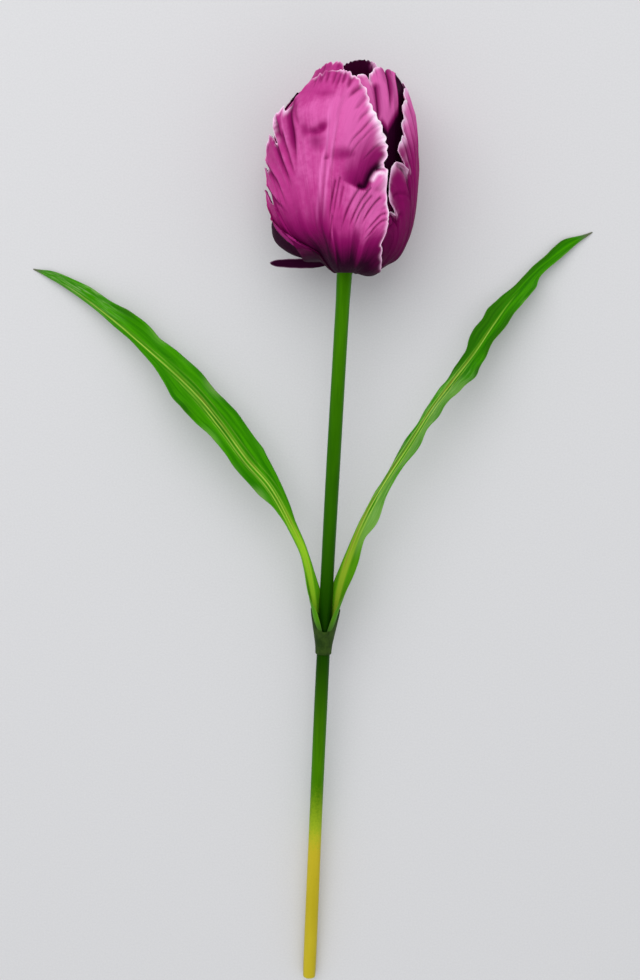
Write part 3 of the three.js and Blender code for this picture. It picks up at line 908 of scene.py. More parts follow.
def ordinary_side(width, foot, seed, **changes):
    """One side of a petal with ordinary lobes."""
    rng = np.random.default_rng(seed)
    lobes = zip((0.17, 0.27, 0.36, 0.45, 0.54, 0.64, 0.75, 0.86), (3, 6, 10, 15, 13, 9, 5, 2))
    slits = [
        (q + rng.uniform(-0.02, 0.02), depth * rng.uniform(0.7, 1.15), min(1.5, 0.5 + depth / 10))
        for q, depth in lobes
    ]
    side = {
        "width": width, "foot": foot, "sweep": 0.35, "slits": slits, "scallops": [(0.03, 0.9, 26, 1.0)],
        "rim": [(0, 0.9, 0.6), (0.3, 1.5, 0.8), (0.6, 1.5, 0.8), (0.85, 0.5, 0.3), (1, 0.3, 0)],
    }
    return side | changes


def ordinary_creases(petal, seed, count=8):
    """Creases at uneven places on both sides of a petal, and the fine pleats of its margin."""
    rng = np.random.default_rng(seed)
    for sign in (-1, 1):
        for k in range(count):
            q = 0.06 + 0.62 * (k + rng.uniform(0.2, 0.8)) / count
            start, stop = rng.uniform(0.84, 0.96), rng.uniform(0.42, 0.66)
            petal.groove(
                (sign * q, start), (sign * q * 0.84, (start + stop) / 2), (sign * q * 0.7, stop),
                width=rng.uniform(0.9, 1.7), depth=rng.uniform(0.4, 1.0), line_shade=0.5 * rng.uniform(0.5, 1),
                roll=rng.uniform(-0.3, 0.3),
            )
    petal.frill(40, 0.05, 0.8, 0.35, 12)


def midrib(petal):
    """A plain midrib: a shallow groove between two pale ribs."""
    petal.groove((0.0, 0.93), (0.0, 0.62), (0.0, 0.3), width=1.6, depth=0.5, line_shade=0.2, closed=True)
    petal.ridge((0.022, 0.90), (0.02, 0.28))
    petal.ridge((-0.022, 0.88), (-0.02, 0.28), width=0.8, light=0.6)


def right_petal():
    petal = Petal(
        "right_outer_petal", OUTER_CUP, 100, 133.5,
        {
            "width": 61, "foot": 50, "curl": 0.5, "lean": -1.5, "sweep": 0.35, "tuck": 1.3,
            "spread": [
                (0, 0), (0.1, 4), (0.2, 7), (0.3, 5), (0.36, 2), (0.44, 0), (0.5, 4), (0.6, 5), (0.63, 3),
                (0.66, 10), (0.76, 10), (0.8, 7), (0.85, -6), (0.9, -18), (1, -20),
            ],
            "outline": [
                (0, 0.985), (0.1, 0.99), (0.2, 1), (0.36, 1.01), (0.40, 1.0), (0.46, 1.01), (0.55, 1.02),
                (0.64, 1), (1, 1),
            ],
            "slits": [
                (0.16, 3, 0.6), (0.25, 4, 0.8), (0.338, 6, 1.2), (0.392, 8, 1.6), (0.478, 20, 2.6),
                (0.635, 12, -1.8), (0.75, 5, 0.8), (0.86, 2, 0.5),
            ],
            "scallops": [(0.03, 0.46, 12, 0.9), (0.5, 0.9, 8, 0.6)],
            "rim": [
                (0, 2.4, 0.6), (0.15, 3.8, 0.75), (0.25, 3.8, 0.8), (0.34, 4.0, 1), (0.42, 2.4, 0.8),
                (0.52, 2.2, 0.75), (0.62, 1.6, 0.6), (0.8, 0.6, 0.4), (1, 0.3, 0),
            ],
        },
        ordinary_side(55, 52, 31, curl=0.5, lean=1.0, outline=[(0, 0.985), (0.2, 0.995), (1, 1)]),
        340, 96,
    )
    petal.shade_foot(
        [(0.05, 1.15), (0.15, 0.95), (0.3, 0.80), (0.5, 0.66), (0.7, 0.46), (0.82, 0)],
        [(0.05, 1.15), (0.15, 0.9), (0.3, 0.72), (0.5, 0.55), (0.7, 0.38), (0.84, 0)],
    )
    for stops, width, depth, line_shade in (
        (((-0.34, 0.93), (-0.30, 0.80), (-0.26, 0.66)), 1.2, 0.8, 0.5),
        (((-0.386, 0.95), (-0.35, 0.80), (-0.30, 0.64)), 1.4, 1.0, 0.7),
        (((-0.481, 0.958), (-0.44, 0.823), (-0.427, 0.738), (-0.40, 0.6)), 1.8, 1.3, 1.0),
        (((-0.62, 0.9), (-0.60, 0.8), (-0.54, 0.6)), 1.5, 1.2, 1.0),
        (((-0.2, 0.97), (-0.17, 0.78), (-0.15, 0.6)), 1.2, 0.7, 0.4),
    ):
        petal.groove(*stops, width=width, depth=depth, line_shade=line_shade)
    # painted light near its top, and painted shade along the lobes of its left side
    for dent in (  # c, w, depth, across, along, shade
        (-0.14, 0.93, -0.4, 14, 13, -1.8),
        (-0.36, 0.93, -0.2, 6, 12, -1.4),
        (-0.40, 0.86, 1.2, 4.0, 9, 0.62),
        (-0.51, 0.80, 1.2, 3.4, 11, 0.70),
        (-0.70, 0.9, 1.0, 8, 12, 0.75),
    ):
        petal.dent(*dent)
    ordinary_creases(petal, 5)
    midrib(petal)
    return petal.made()


def left_petal():
    petal = Petal(
        "left_outer_petal", OUTER_CUP, 213, 139,
        ordinary_side(55, 52, 41, curl=0.5),
        ordinary_side(
            54, 52, 42, curl=-1.0, tuck=1.9, lean=1.0, lining=0.1,
            rim=[(0, 0.6, 0.4), (0.4, 0.5, 0.15), (1, 0.3, 0)],
            spread=[
                (0, 0), (0.1, 4), (0.2, 6), (0.25, -3), (0.3, -12), (0.4, -6), (0.5, 0), (0.6, 3), (0.66, 12),
                (0.72, 22), (0.78, 30), (0.84, 30), (0.9, 18), (1, 2),
            ],
            outline=[(0, 0.985), (0.1, 1.012), (0.16, 1.0), (0.2, 0.985), (0.28, 1), (1, 1)],
            slits=[(0.2, 3, 0.6), (0.31, 5, 0.8), (0.42, 6, 0.8), (0.52, 4, 0.6)],
            scallops=[(0.03, 0.6, 14, 1.0)],
        ),
        300, 90,
    )
    petal.shade_foot(
        [(0.1, 1.15), (0.2, 0.9), (0.35, 0.5), (0.5, 0)],
        [(0.1, 1.2), (0.36, 1.05), (0.48, 0.5), (0.6, 0)],
    )
    petal.swell(262, 42, 6.8, 18, 15)
    petal.swell(250, 120, 2.8, 20, 12)
    ordinary_creases(petal, 6)
    midrib(petal)
    return petal.made()


def inner_right_petal():
    petal = Petal(
        "right_inner_petal", INNER_CUP, 42, 129.5,
        {
            "width": 53, "foot": 52, "lean": 1, "sweep": 0.3,
            "outline": [
                (0, 0.972), (0.05, 0.972), (0.1, 0.965), (0.15, 0.965), (0.2, 1.0), (0.27, 1.04),
                (0.33, 1.03), (0.42, 1), (1, 1),
            ],
            "slits": [
                (0.155, 5, 0.8), (0.26, 4, 0.8), (0.38, 6, 0.8), (0.5, 6, 0.8), (0.64, 4, 0.6),
                (0.8, 3, 0.5),
            ],
            "scallops": [(0.05, 0.9, 18, 0.9)],
            "rim": [(0, 0.8, 0.6), (0.1, 1.4, 0.8), (0.3, 1.2, 0.6), (1, 0.4, 0)],
        },
        {
            "width": 53, "foot": 52, "lean": 3.0, "sweep": 0.3,
            "outline": [(0, 0.975), (0.03, 0.98), (0.09, 0.985), (0.15, 0.995), (0.2, 1), (1, 1)],
            "slits": [
                (0.045, 3, 1.0), (0.22, 4, 0.8), (0.33, 6, 0.8), (0.46, 6, 0.8), (0.6, 5, 0.7),
                (0.78, 3, 0.5),
            ],
            "scallops": [(0.09, 0.9, 18, 0.8)],
            "rim": [(0, 0.6, 0.5), (0.2, 0.5, 0.3), (1, 0.4, 0)],
        },
        290, 90,
    )
    petal.groove((0.05, 0.97), (0.03, 0.88), (0.01, 0.76), width=1.7, depth=1.6, line_shade=0.95, roll=-0.4)
    petal.groove((-0.095, 0.89), (-0.105, 0.80), (-0.115, 0.70), width=1.2, depth=0.8, line_shade=0.85)
    petal.groove((0.0, 0.97), (-0.01, 0.88), width=1.4, depth=0.6, line_shade=0.3)
    # it is dark, its maroon with painted shade, up to a limit that follows the margins of the two petals
    # before it
    edges = [(-0.3, 0.68), (-0.081, 0.735), (-0.029, 0.70), (0.104, 0.797), (0.134, 0.927), (0.2, 1.2)]
    limit = np.interp(petal.inner, *zip(*edges))
    gloom = np.interp(petal.w, [0.12, 0.20, 0.36, 0.42, 0.45], [1.2, 0.6, 0.55, 0.75, 1.2])
    petal.darken(gloom * (1 - smooth(petal.w, limit - 0.04, limit + 0.05)))
    petal.tone = petal.tone + 0.8
    petal.frill(30, 0.05, 0.8, 0.3, 9)
    return petal.made()


def inner_back_petal():
    petal = Petal(
        "back_inner_petal", BACK_CUP, 162, 142,
        ordinary_side(
            54, 52, 51,
            rim=[
                (0, 1.0, 0.4), (0.06, 2.4, 0.6), (0.12, 4.0, 0.8), (0.4, 4.0, 0.8), (0.7, 0.6, 0.3),
                (1, 0.3, 0),
            ],
            spread=[(0, 0), (0.1, 4), (0.2, 7), (0.3, 6), (0.45, 0), (1, 0)],
            outline=[(0, 0.975), (0.1, 0.985), (0.2, 1.01), (0.3, 1.06), (0.4, 1.05), (0.52, 1), (1, 1)],
        ),
        ordinary_side(
            54, 52, 52, lining=0.05, rim=[(0, 0.6, 0.4), (0.3, 0.4, 0.2), (1, 0.3, 0)],
            spread=[(0, 0), (0.1, 4), (0.2, 9), (0.3, 9), (0.45, 0), (1, 0)],
            outline=[(0, 0.975), (0.1, 0.975), (0.2, 0.995), (0.3, 1.04), (0.4, 1.05), (0.52, 1), (1, 1)],
        ),
        240, 80,
    )
    petal.shade_foot([(0.1, 1.1), (0.4, 0.6), (0.6, 0)])
    streaked = 0.62 + 0.28 * waver(petal.c * 40, 92, 2)
    petal.pale = streaked * smooth(-petal.c, -0.02, 0.11) * (1 - smooth(petal.from_margin, 2, 13))
    ordinary_creases(petal, 8, 6)
    return petal.made()


def inner_left_petal():
    petal = Petal(
        "left_inner_petal", LEFT_CUP, 282, 143,
        ordinary_side(
            54, 52, 61, lining=0.3, rim=[(0, 0.5, 0.35), (1, 0.3, 0.1)],
            outline=[(0, 0.905), (0.2, 0.90), (0.4, 0.98), (1, 1)],
        ),
        ordinary_side(
            54, 52, 62, lining=0.3, rim=[(0, 0.5, 0.35), (0.3, 0.6, 0.5), (1, 0.3, 0.1)],
            spread=[(0, 0), (0.08, 14), (0.18, 37), (0.3, 37), (0.45, 10), (1, 0)],
            outline=[
                (0, 0.895), (0.06, 0.915), (0.12, 0.945), (0.2, 0.993), (0.26, 1.03), (0.4, 1.01),
                (0.5, 1), (1, 1),
            ],
        ),
        240, 80,
    )
    petal.shade_foot([(0.1, 1.1), (0.4, 0.6), (0.6, 0)])
    petal.tone = petal.tone - 0.3
    ordinary_creases(petal, 9, 6)
    return petal.made()


SPUR_AZIMUTH = math.radians(263)
SPUR_START = 8
SPUR_LENGTH = 36.0
SPUR_HALF_WIDTH = 2.75
SPUR_HEIGHT = 5.2
SPUR_THICKNESS = 1.2
SPUR_EDGE = 0.4  # the share of its thickness at its margin


def spur():
    """The slender lobe that springs sideways from the foot of the outer left petal."""
    columns, rows = 24, 90
    c, w = streamlines(columns, rows)
    out = SPUR_START + SPUR_LENGTH * w
    half = SPUR_HALF_WIDTH * np.sqrt(np.clip(1 - (2 * w - 1) ** 4, 0, 1))
    half = half * (1 + 0.10 * waver(w * 5, 71, 2)) + 0.02
    height = SPUR_HEIGHT + c * half + 0.4 * waver(w * 2.2, 72, 1)
    side = 0.5 * (1 - c**2) + 0.25 * waver(c * 3, 73, 1)
    x = out * math.sin(SPUR_AZIMUTH) + side * math.cos(SPUR_AZIMUTH)
    y = -out * math.cos(SPUR_AZIMUTH) + side * math.sin(SPUR_AZIMUTH)
    edge = (1 - np.abs(c)) * half
    plain = np.zeros_like(c)
    marks = {
        "rim": 0.30 * bell(edge, 0.4) * smooth(w, 0.2, 0.5),
        "edge": plain, "relief_shading": 0.3 * waver(c * 4, 74, 2), "crease": plain, "rib": plain, "tone": plain,
        "maroon_and_shade": plain + 1.1,
    }
    sheet = new_sheet("foot_lobe", columns, rows)
    shape_sheet(sheet, nodded(x, y, height), (c / 20, w / 4), marks, (PETAL_OUTSIDE, PETAL_OUTSIDE))
    return thicken_sheet(sheet, smooth(edge, 0, 1.2), SPUR_THICKNESS, SPUR_EDGE)


# ---------------------------------------------------------------------------------- the leaves


def curve_through(points, share):
    """Points that share of the way along a smooth curve through the given ones."""
    points = np.array(points, float)
    last = len(points) - 1
    before = np.vstack([2 * points[0] - points[1], points[:-1]])
    after = np.vstack([points[1:], 2 * points[-1] - points[-2]])
    at = np.clip(share, 0, 1) * last
    i = np.minimum(at.astype(int), last - 1)
    f = (at - i)[..., None]
    p0, p1, p2, p3 = before[i], points[i], points[i + 1], after[i + 1]
    pairs = ((p0, p1), (p1, p2), (p2, p3))
    d0, d1, d2 = (np.sum((b - a) ** 2, -1, keepdims=True) ** 0.25 for a, b in pairs)
    leave = ((p1 - p0) / d0 - (p2 - p0) / (d0 + d1) + (p2 - p1) / d1) * d1
    arrive = ((p2 - p1) / d1 - (p3 - p1) / (d1 + d2) + (p3 - p2) / d2) * d1
    square = 3 * p2 - 3 * p1 - 2 * leave - arrive
    cube = 2 * p1 - 2 * p2 + leave + arrive
    return p1 + leave * f + square * f**2 + cube * f**3


def eased(values, share):
    """The value that share of the way along a list of evenly spaced ones."""
    steps = np.arange(len(values)) * 1e-3
    return curve_through(np.stack([np.array(values, float), steps], -1), share)[..., 0]


LEAF_COLUMNS = 48
LEAF_ROWS = 300
LEAF_THICKNESS = 0.85
LEAF_EDGE = 0.3  # the share of its thickness at its margin

# midrib: the places it runs through, from the foot to the tip
# upper, lower: how wide the leaf is above and below its midrib
# roll: how far it turns from facing the stem to facing up, in degrees
# gutter: the radius that it is folded to, round its midrib
# ruffle: how uneven its margins are
# shade: how strongly its waves and its two halves are painted with shade and light
# stripes: (place beside the midrib, width, strength, start, stop) of each pale stripe
# neck_end, and the stretch of sheen: where its pale neck stops, and where its silvery painted sheen starts
# and stops
LEFT_LEAF = {
    "midrib": [
        (-6.5, 0, 224.2), (-10.6, -0.4, 250), (-16.2, -1.1, 272), (-25.3, -1.8, 290.5),
        (-38.1, -1.6, 311.7), (-52.6, -0.5, 327), (-67.2, 2.5, 344.8), (-83.1, 6.9, 362.3),
        (-99.7, 12, 376.7), (-115.8, 17.5, 388.9), (-135.9, 24.2, 403.4), (-157.3, 30.6, 417.9),
        (-177.3, 35.4, 429.1), (-190.1, 37.9, 433.9),
    ],
    "upper": [
        7.0, 8.2, 5.8, 4.0, 3.2, 3.3, 3.9, 5.7, 7.9, 10.5, 12.3, 12.8, 12.9, 12.1, 11.7, 11.8, 11.7, 10.9,
        10.8, 11.7, 10.1, 8.8, 7.8, 5.9, 4.3, 1.9, 0.3,
    ],
    "lower": [
        8.4, 9.4, 5.4, 3.2, 2.6, 3.0, 3.1, 5.2, 9.0, 9.8, 9.8, 8.9, 9.2, 12.0, 13.8, 12.2, 8.6, 6.0, 4.1, 2.7,
        2.6, 1.8, 1.6, 1.5, 1.5, 0.9, 0.3,
    ],
    "roll": [12, 46, 60, 60, 64, 66, 68, 70, 70, 70, 70, 72, 74, 76],
    "gutter": [5.3, 6.6, 7.4, 12, 20, 26, 30, 30, 30, 26, 20, 14, 10, 8],
    "ruffle": 0.05,
    "shade": 0.0,
    "stripes": [
        (0.0, 0.36, 0.95, 0.06, 0.92), (2.1, 0.30, 0.85, 0.16, 0.66), (-1.5, 0.24, 0.45, 0.2, 0.8),
        (3.3, 0.22, 0.35, 0.24, 0.62), (-3.6, 0.24, 0.25, 0.25, 0.7),
    ],
    "neck_end": 0.26,
    "neck_colour": (0.30, 0.60, 0.022),
    "sheen_stretch": (0.74, 0.92),
    "seed": 81,
}
RIGHT_LEAF = {
    "midrib": [
        (4.1, 0, 224.2), (7.6, -1.0, 254), (12.0, -1.4, 273), (19.9, -1.3, 296), (30.5, 0.4, 317),
        (45.1, 3.6, 341.7), (56.5, 7.1, 361.5), (68.6, 11.5, 378.7), (80.0, 16.3, 394.5), (92.2, 22.0, 413.8),
        (104.3, 27.0, 431), (117.6, 32.3, 446.5), (134.5, 37.4, 461.8), (151.3, 40.8, 472.9),
    ],
    "upper": [
        7.0, 7.6, 5.2, 3.8, 3.0, 2.4, 2.2, 2.1, 2.0, 2.6, 3.4, 3.5, 4.7, 5.1, 4.0, 4.4, 5.7, 7.6, 7.4,
        7.4, 5.5, 4.8, 4.8, 3.8, 4.3, 2.4, 0.3,
    ],
    "lower": [
        8.4, 10.0, 8.6, 8.0, 7.0, 5.6, 8.0, 7.4, 5.8, 6.2, 8.8, 5.0, 8.6, 6.4, 8.2, 10.8, 7.9, 7.8, 9.6,
        7.8, 7.0, 7.4, 4.2, 4.0, 3.2, 1.6, 0.3,
    ],
    "roll": [12, 56, 72, 70, 62, 54, 52, 56, 60, 60, 58, 56, 60, 66],
    "gutter": [5.3, 8, 13, 14, 13, 13, 15, 18, 20, 20, 18, 14, 10, 8],
    "ruffle": 0.14,
    "shade": 0.7,
    "stripes": [(0.1, 0.34, 0.85, 0.06, 0.8), (1.6, 0.26, 0.45, 0.16, 0.7), (-1.5, 0.26, 0.6, 0.1, 0.65)],
    "neck_end": 0.22,
    "neck_colour": (0.25, 0.40, 0.020),
    "sheen_stretch": (0.14, 0.50),
    "seed": 91,
}

LEAF_DARK = (0.016, 0.170, 0.0004)
LEAF_BRIGHT = (0.050, 0.300, 0.0010)
LEAF_RIB = (0.011, 0.105, 0.001)
LEAF_SPECK = (0.10, 0.38, 0.012)
LEAF_SILVER_SHEEN = (0.33, 0.52, 0.18)
LEAF_TROUGH_SHADE = (0.012, 0.070, 0.003)
LEAF_CREST_LIGHT = (0.19, 0.40, 0.075)
LEAF_STRIPE = (0.52, 0.74, 0.10)
LEAF_RUST = (0.26, 0.17, 0.03)
LEAF_MARGIN = (0.16, 0.30, 0.05)
LEAF_FOOT = (0.035, 0.075, 0.018)
LEAF_TIP = (0.13, 0.12, 0.09)
LEAF_SHINE = (0.40, 1.0, 0.06)


def leaf_material(name, neck_end, neck_colour, sheen_stretch):
    """A ribbed leaf with pale stripes and a pale neck, with a silvery painted sheen for a stretch,
    and withered at its tip.
    """
    material, tree, shader = new_material(name)
    uv = coordinates(tree, "UV")
    along = mark(tree, "along")
    ribs = noise(tree, stretched(tree, uv, (90, 5, 1)), 1.0, 3.0, 0.6, 0.1)
    broad = noise(tree, stretched(tree, uv, (9, 7, 1), (2.2, 0, 0)), 1.0, 3.0, 0.55, 0.4)
    speckle = noise(tree, coordinates(tree, "Object"), 900.0, 4.0, 0.65)
    colour = wash(tree, LEAF_DARK, LEAF_BRIGHT, broad, 0.30, 0.70)
    colour = wash(tree, colour, LEAF_RIB, ribs, 0.42, 0.75, 0.0, 0.35)
    colour = wash(tree, colour, LEAF_SPECK, speckle, 0.60, 0.75, 0.0, 0.25)
    start, stop = sheen_stretch
    patch = noise(tree, stretched(tree, uv, (16, 22, 1), (5.1, 0, 0)), 1.0, 4.0, 0.65, 0.5)
    rising = fit(tree, along, start, start + 0.1)
    falling = fit(tree, along, stop, stop + 0.12, 1.0, 0.0)
    sheen = calc(tree, "MULTIPLY", rising, falling)
    sheen = calc(tree, "MULTIPLY", sheen, fit(tree, patch, 0.44, 0.70, 0.0, 0.55))
    colour = mix(tree, sheen, colour, LEAF_SILVER_SHEEN)
    # painted shade in the troughs of its waves and painted light on their crests, and likewise on its two
    # halves
    wave = add_noise(tree, mark(tree, "wave"), ribs, 0.5)
    colour = wash(tree, colour, LEAF_TROUGH_SHADE, wave, 0.1, 0.9, 0.0, 0.55)
    colour = wash(tree, colour, LEAF_CREST_LIGHT, wave, -0.9, -0.1, 0.65, 0.0)
    broken = fit(tree, noise(tree, stretched(tree, uv, (30, 14, 1)), 1.0, 3.0, 0.6), 0.30, 0.62, 0.35, 1.0)
    colour = mix(tree, calc(tree, "MULTIPLY", mark(tree, "stripe"), broken), colour, LEAF_STRIPE)
    neck = fit(tree, along, neck_end - 0.10, neck_end + 0.06, 1.0, 0.0)
    colour = mix(tree, calc(tree, "MULTIPLY", neck, mark(tree, "pale")), colour, neck_colour)
    colour = mix(tree, mark(tree, "rust"), colour, LEAF_RUST)
    colour = wash(tree, colour, LEAF_MARGIN, mark(tree, "margin"), 0.0, 0.6, 0.45, 0.0)
    colour = wash(tree, colour, LEAF_FOOT, along, 0.0, 0.035, 0.85, 0.0)
    colour = wash(tree, colour, LEAF_TIP, along, 0.955, 0.995, 0.0, 0.9)
    surface(tree, shader, colour, broad, (0.42, 0.56))
    gloss(shader, 0.13, LEAF_SHINE)
    relief = calc(tree, "ADD", calc(tree, "MULTIPLY", ribs, 0.8), calc(tree, "MULTIPLY", speckle, 0.15))
    bump(tree, shader, relief, 0.0004, 0.5)
    return material


def striped(off, w, stripes, seed):
    """How strongly the pale stripes show at each place."""
    total = 0
    for k, (place, width, strength, start, stop) in enumerate(stripes):
        wandering = off - place - 0.3 * waver(w * 9, seed + k, 1)
        total = total + strength * bell(wandering, width) * between(w, start, start + 0.08, stop - 0.15, stop)
    return np.clip(total, 0, 1)


def leaf_frame(shape, w, to_stem):
    """The midrib's place at each w, and which way is across the leaf and away from its face there."""
    midrib = shape["midrib"]
    ahead = curve_through(midrib, np.minimum(w + 1e-3, 1))
    behind = curve_through(midrib, np.minimum(w, 1 - 1e-3))
    way = unit(ahead - behind)
    front = np.array([0.0, -1.0, 0.0])
    inward = unit(np.cross(way, front) * to_stem)
    roll = np.radians(eased(shape["roll"], w))[..., None]
    facing = inward * np.cos(roll) + front * np.sin(roll)
    normal = unit(facing - way * np.sum(facing * way, -1, keepdims=True))
    return curve_through(midrib, w), np.cross(normal, way), normal


def leaf(name, shape):
    seed = shape["seed"]
    c, w = streamlines(LEAF_COLUMNS, LEAF_ROWS)
    c = -c
    to_stem = -math.copysign(1, shape["midrib"][0][0])
    midrib, across, normal = leaf_frame(shape, w, to_stem)
    lower = c * to_stem > 0
    half = np.where(lower, eased(shape["lower"], w), eased(shape["upper"], w))
    ruffle = shape["ruffle"] * waver(w * 21 + 3 * lower, seed + 11, 2) * smooth(w, 0.1, 0.3)
    half = np.maximum(half, 0.25) * (1 + ruffle)
    gutter = eased(shape["gutter"], w)
    off = c * half
    bend = off / gutter
    wave = waver(w * 13 + 3 * lower, seed, 2) * np.abs(c) ** 2.2
    wave = wave * np.minimum(half * 0.26, 2.2) * smooth(w, 0.12, 0.3)
    ribbing = 0.10 * waver(off * 1.5, seed + 3, 1) * smooth(w, 0.05, 0.3)
    rib = -0.35 * bell(off, 0.8) * smooth(w, 0.1, 0.3)
    top = 0.9 * (1 - 0.6 * w) * (1 - np.abs(c) ** 8)
    height = gutter * (1 - np.cos(bend)) + top + wave + ribbing + rib
    points = midrib + across * (gutter * np.sin(bend))[..., None] + normal * height[..., None]
    # its upper half is painted with shade and its lower half with light
    halves = np.where(lower, -between(w, 0.12, 0.2, 0.5, 0.62), between(w, 0.5, 0.6, 0.82, 0.95))
    shaded = shape["shade"] * (smooth(np.abs(off), 0.5, 2.5) * halves)
    rust = 0.7 * bell(off * to_stem + 0.75, 0.3) * between(w, 0.05, 0.10, 0.5, 0.8)
    rust = rust * (0.5 + 0.5 * waver(w * 30, seed + 9, 2))
    margin = (1 - np.abs(c)) * half
    marks = {
        "along": w,
        "margin": margin,
        "stripe": striped(off, w, shape["stripes"], seed + 5),
        "wave": np.clip((0.35 + 0.75 * shape["shade"]) * wave + shaded, -1, 1),
        "pale": 1 - 0.8 * smooth(np.abs(off), 1.2, 2.8),
        "rust": np.clip(rust, 0, 1),
    }
    thick = smooth(margin, 0, 3) * (1 - 0.6 * w)
    sheet = new_sheet(name, LEAF_COLUMNS, LEAF_ROWS)
    skin = leaf_material(name + "_skin", shape["neck_end"], shape["neck_colour"], shape["sheen_stretch"])
    shape_sheet(sheet, points, ((c + 1) / 2, w), marks, (skin, skin))
    return thicken_sheet(sheet, thick, LEAF_THICKNESS, LEAF_EDGE)


# ---------------------------------------------------------------------------------- the stem and its cuff

STEM_SAG = 1.2
RING_VERTICES = 48
CAP_SPAN = 8  # how many squares lie along one side of the grid that closes a ring

STEM_GREEN = (0.020, 0.110, 0.0005)
STEM_LIGHT_GREEN = (0.036, 0.160, 0.0008)
STEM_DARK = (0.0035, 0.028, 0.0002)
STEM_BRIGHT = (0.052, 0.190, 0.0008)
STEM_TOP = (0.052, 0.215, 0.0010)
STEM_FIBRE = (0.010, 0.075, 0.0004)
STEM_YELLOW = (0.48, 0.38, 0.015)
STEM_PALE_YELLOW = (0.60, 0.48, 0.03)
STEM_SPECK = (0.32, 0.31, 0.012)
STEM_LIME = (0.33, 0.45, 0.018)
CUT_RING = (0.42, 0.40, 0.12)
CUT_PALE = (0.66, 0.66, 0.30)
STEM_SHINE = (0.4, 1.0, 0.04)
CUFF_DARK = (0.014, 0.036, 0.004)
CUFF_LIGHT = (0.036, 0.072, 0.010)
CUFF_FIBRE = (0.007, 0.016, 0.004)
CUFF_SHINE = (0.6, 1.0, 0.4)


def sag_of_stem(z):
    """How far the stem bends aside at each height."""
    return -STEM_SAG * np.sin(np.pi * np.minimum(z / STEM_LENGTH, 1))


def turned(name, profile):
    """A round piece, drawn out ring by ring through (radius, distance from the cut end) pairs."""
    bpy.ops.object.select_all(action="DESELECT")
    bpy.ops.mesh.primitive_circle_add(vertices=RING_VERTICES, radius=profile[0][0], fill_type="NOTHING")
    piece = bpy.context.object
    piece.name = piece.data.name = name
    bpy.ops.object.mode_set(mode="EDIT")
    bpy.ops.mesh.select_all(action="SELECT")
    bpy.ops.transform.translate(value=(0, 0, profile[0][1]))
    for (radius, height), (new_radius, new_height) in zip(profile[:-1], profile[1:]):
        bpy.ops.mesh.extrude_region_move(TRANSFORM_OT_translate={"value": (0, 0, new_height - height)})
        scale = new_radius / radius
        bpy.ops.transform.resize(value=(scale, scale, 1), center_override=(0, 0, new_height))
    bpy.ops.object.mode_set(mode="OBJECT")
    return piece


def capped(piece, ends):
    """Closes the open ring at each of the given heights."""
    bpy.ops.object.mode_set(mode="EDIT")
    bpy.ops.mesh.select_mode(type="EDGE")
    for height in ends:
        bpy.ops.mesh.select_all(action="DESELECT")
        bpy.ops.object.mode_set(mode="OBJECT")
        for edge in piece.data.edges:
            edge.select = all(abs(piece.data.vertices[k].co.z - height) < 1e-4 for k in edge.vertices)
        bpy.ops.object.mode_set(mode="EDIT")
        bpy.ops.mesh.fill_grid(span=CAP_SPAN)
    bpy.ops.mesh.select_all(action="SELECT")
    bpy.ops.mesh.normals_make_consistent(inside=False)
    bpy.ops.object.mode_set(mode="OBJECT")


def put_on_stem(piece, change):
    """Changes the points of a piece drawn in millimetres, and moves it to its place on the stem."""
    place = np.empty(len(piece.data.vertices) * 3, np.float32)
    piece.data.vertices.foreach_get("co", place)
    points = change(place.reshape(-1, 3).astype(float))
    points[:, 0] += sag_of_stem(points[:, 2])
    along = piece.data.attributes.new("along", "FLOAT", "POINT")
    along.data.foreach_set("value", (points[:, 2] / STEM_LENGTH).astype(np.float32))
    piece.data.vertices.foreach_set("co", laid(points).astype(np.float32).ravel())
    piece.data.update()
    bpy.ops.object.select_all(action="DESELECT")
    piece.select_set(True)
    bpy.context.view_layer.objects.active = piece
    bpy.ops.object.shade_smooth_by_angle(angle=math.radians(40))
    return piece


def stem_material():
    material, tree, shader = new_material("stem_skin")
    place = coordinates(tree, "Object")
    along = mark(tree, "along")
    fibre = noise(tree, stretched(tree, place, (420, 9, 420)), 1.0, 4.0, 0.6, 0.2)
    broad = noise(tree, stretched(tree, place, (60, 12, 60), (0.3, 0, 0)), 1.0, 3.0, 0.5, 0.3)
    speckle = noise(tree, place, 700.0, 4.0, 0.7)
    green = wash(tree, STEM_GREEN, STEM_LIGHT_GREEN, broad, 0.3, 0.7)
    green = wash(tree, green, STEM_DARK, along, 0.50, 0.68, 0.92, 0.0)
    green = wash(tree, green, STEM_BRIGHT, along, 0.32, 0.49, 1.0, 0.0)
    green = wash(tree, green, STEM_TOP, along, 0.70, 0.96, 0.0, 0.8)
    green = wash(tree, green, STEM_FIBRE, fibre, 0.35, 0.7, 0.0, 0.35)
    yellow = wash(tree, STEM_YELLOW, STEM_PALE_YELLOW, broad, 0.3, 0.7)
    yellow = wash(tree, yellow, STEM_SPECK, speckle, 0.56, 0.74, 0.0, 0.45)
    uneven = add_noise(tree, along, speckle, 0.05)
    colour = wash(tree, yellow, STEM_LIME, uneven, 0.185, 0.235)
    colour = wash(tree, colour, green, uneven, 0.205, 0.300)
    ringed = noise(tree, place, 1500.0, 3.0, 0.6)
    face = wash(tree, CUT_RING, CUT_PALE, ringed, 0.35, 0.65)
    colour = wash(tree, colour, face, along, 0.0009, 0.0013, 1.0, 0.0)
    surface(tree, shader, colour, broad, (0.38, 0.50))
    gloss(shader, 0.12, STEM_SHINE)
    relief = calc(tree, "ADD", calc(tree, "MULTIPLY", fibre, 0.8), calc(tree, "MULTIPLY", speckle, 0.3))
    bump(tree, shader, relief, 0.0003, 0.45)
    return material


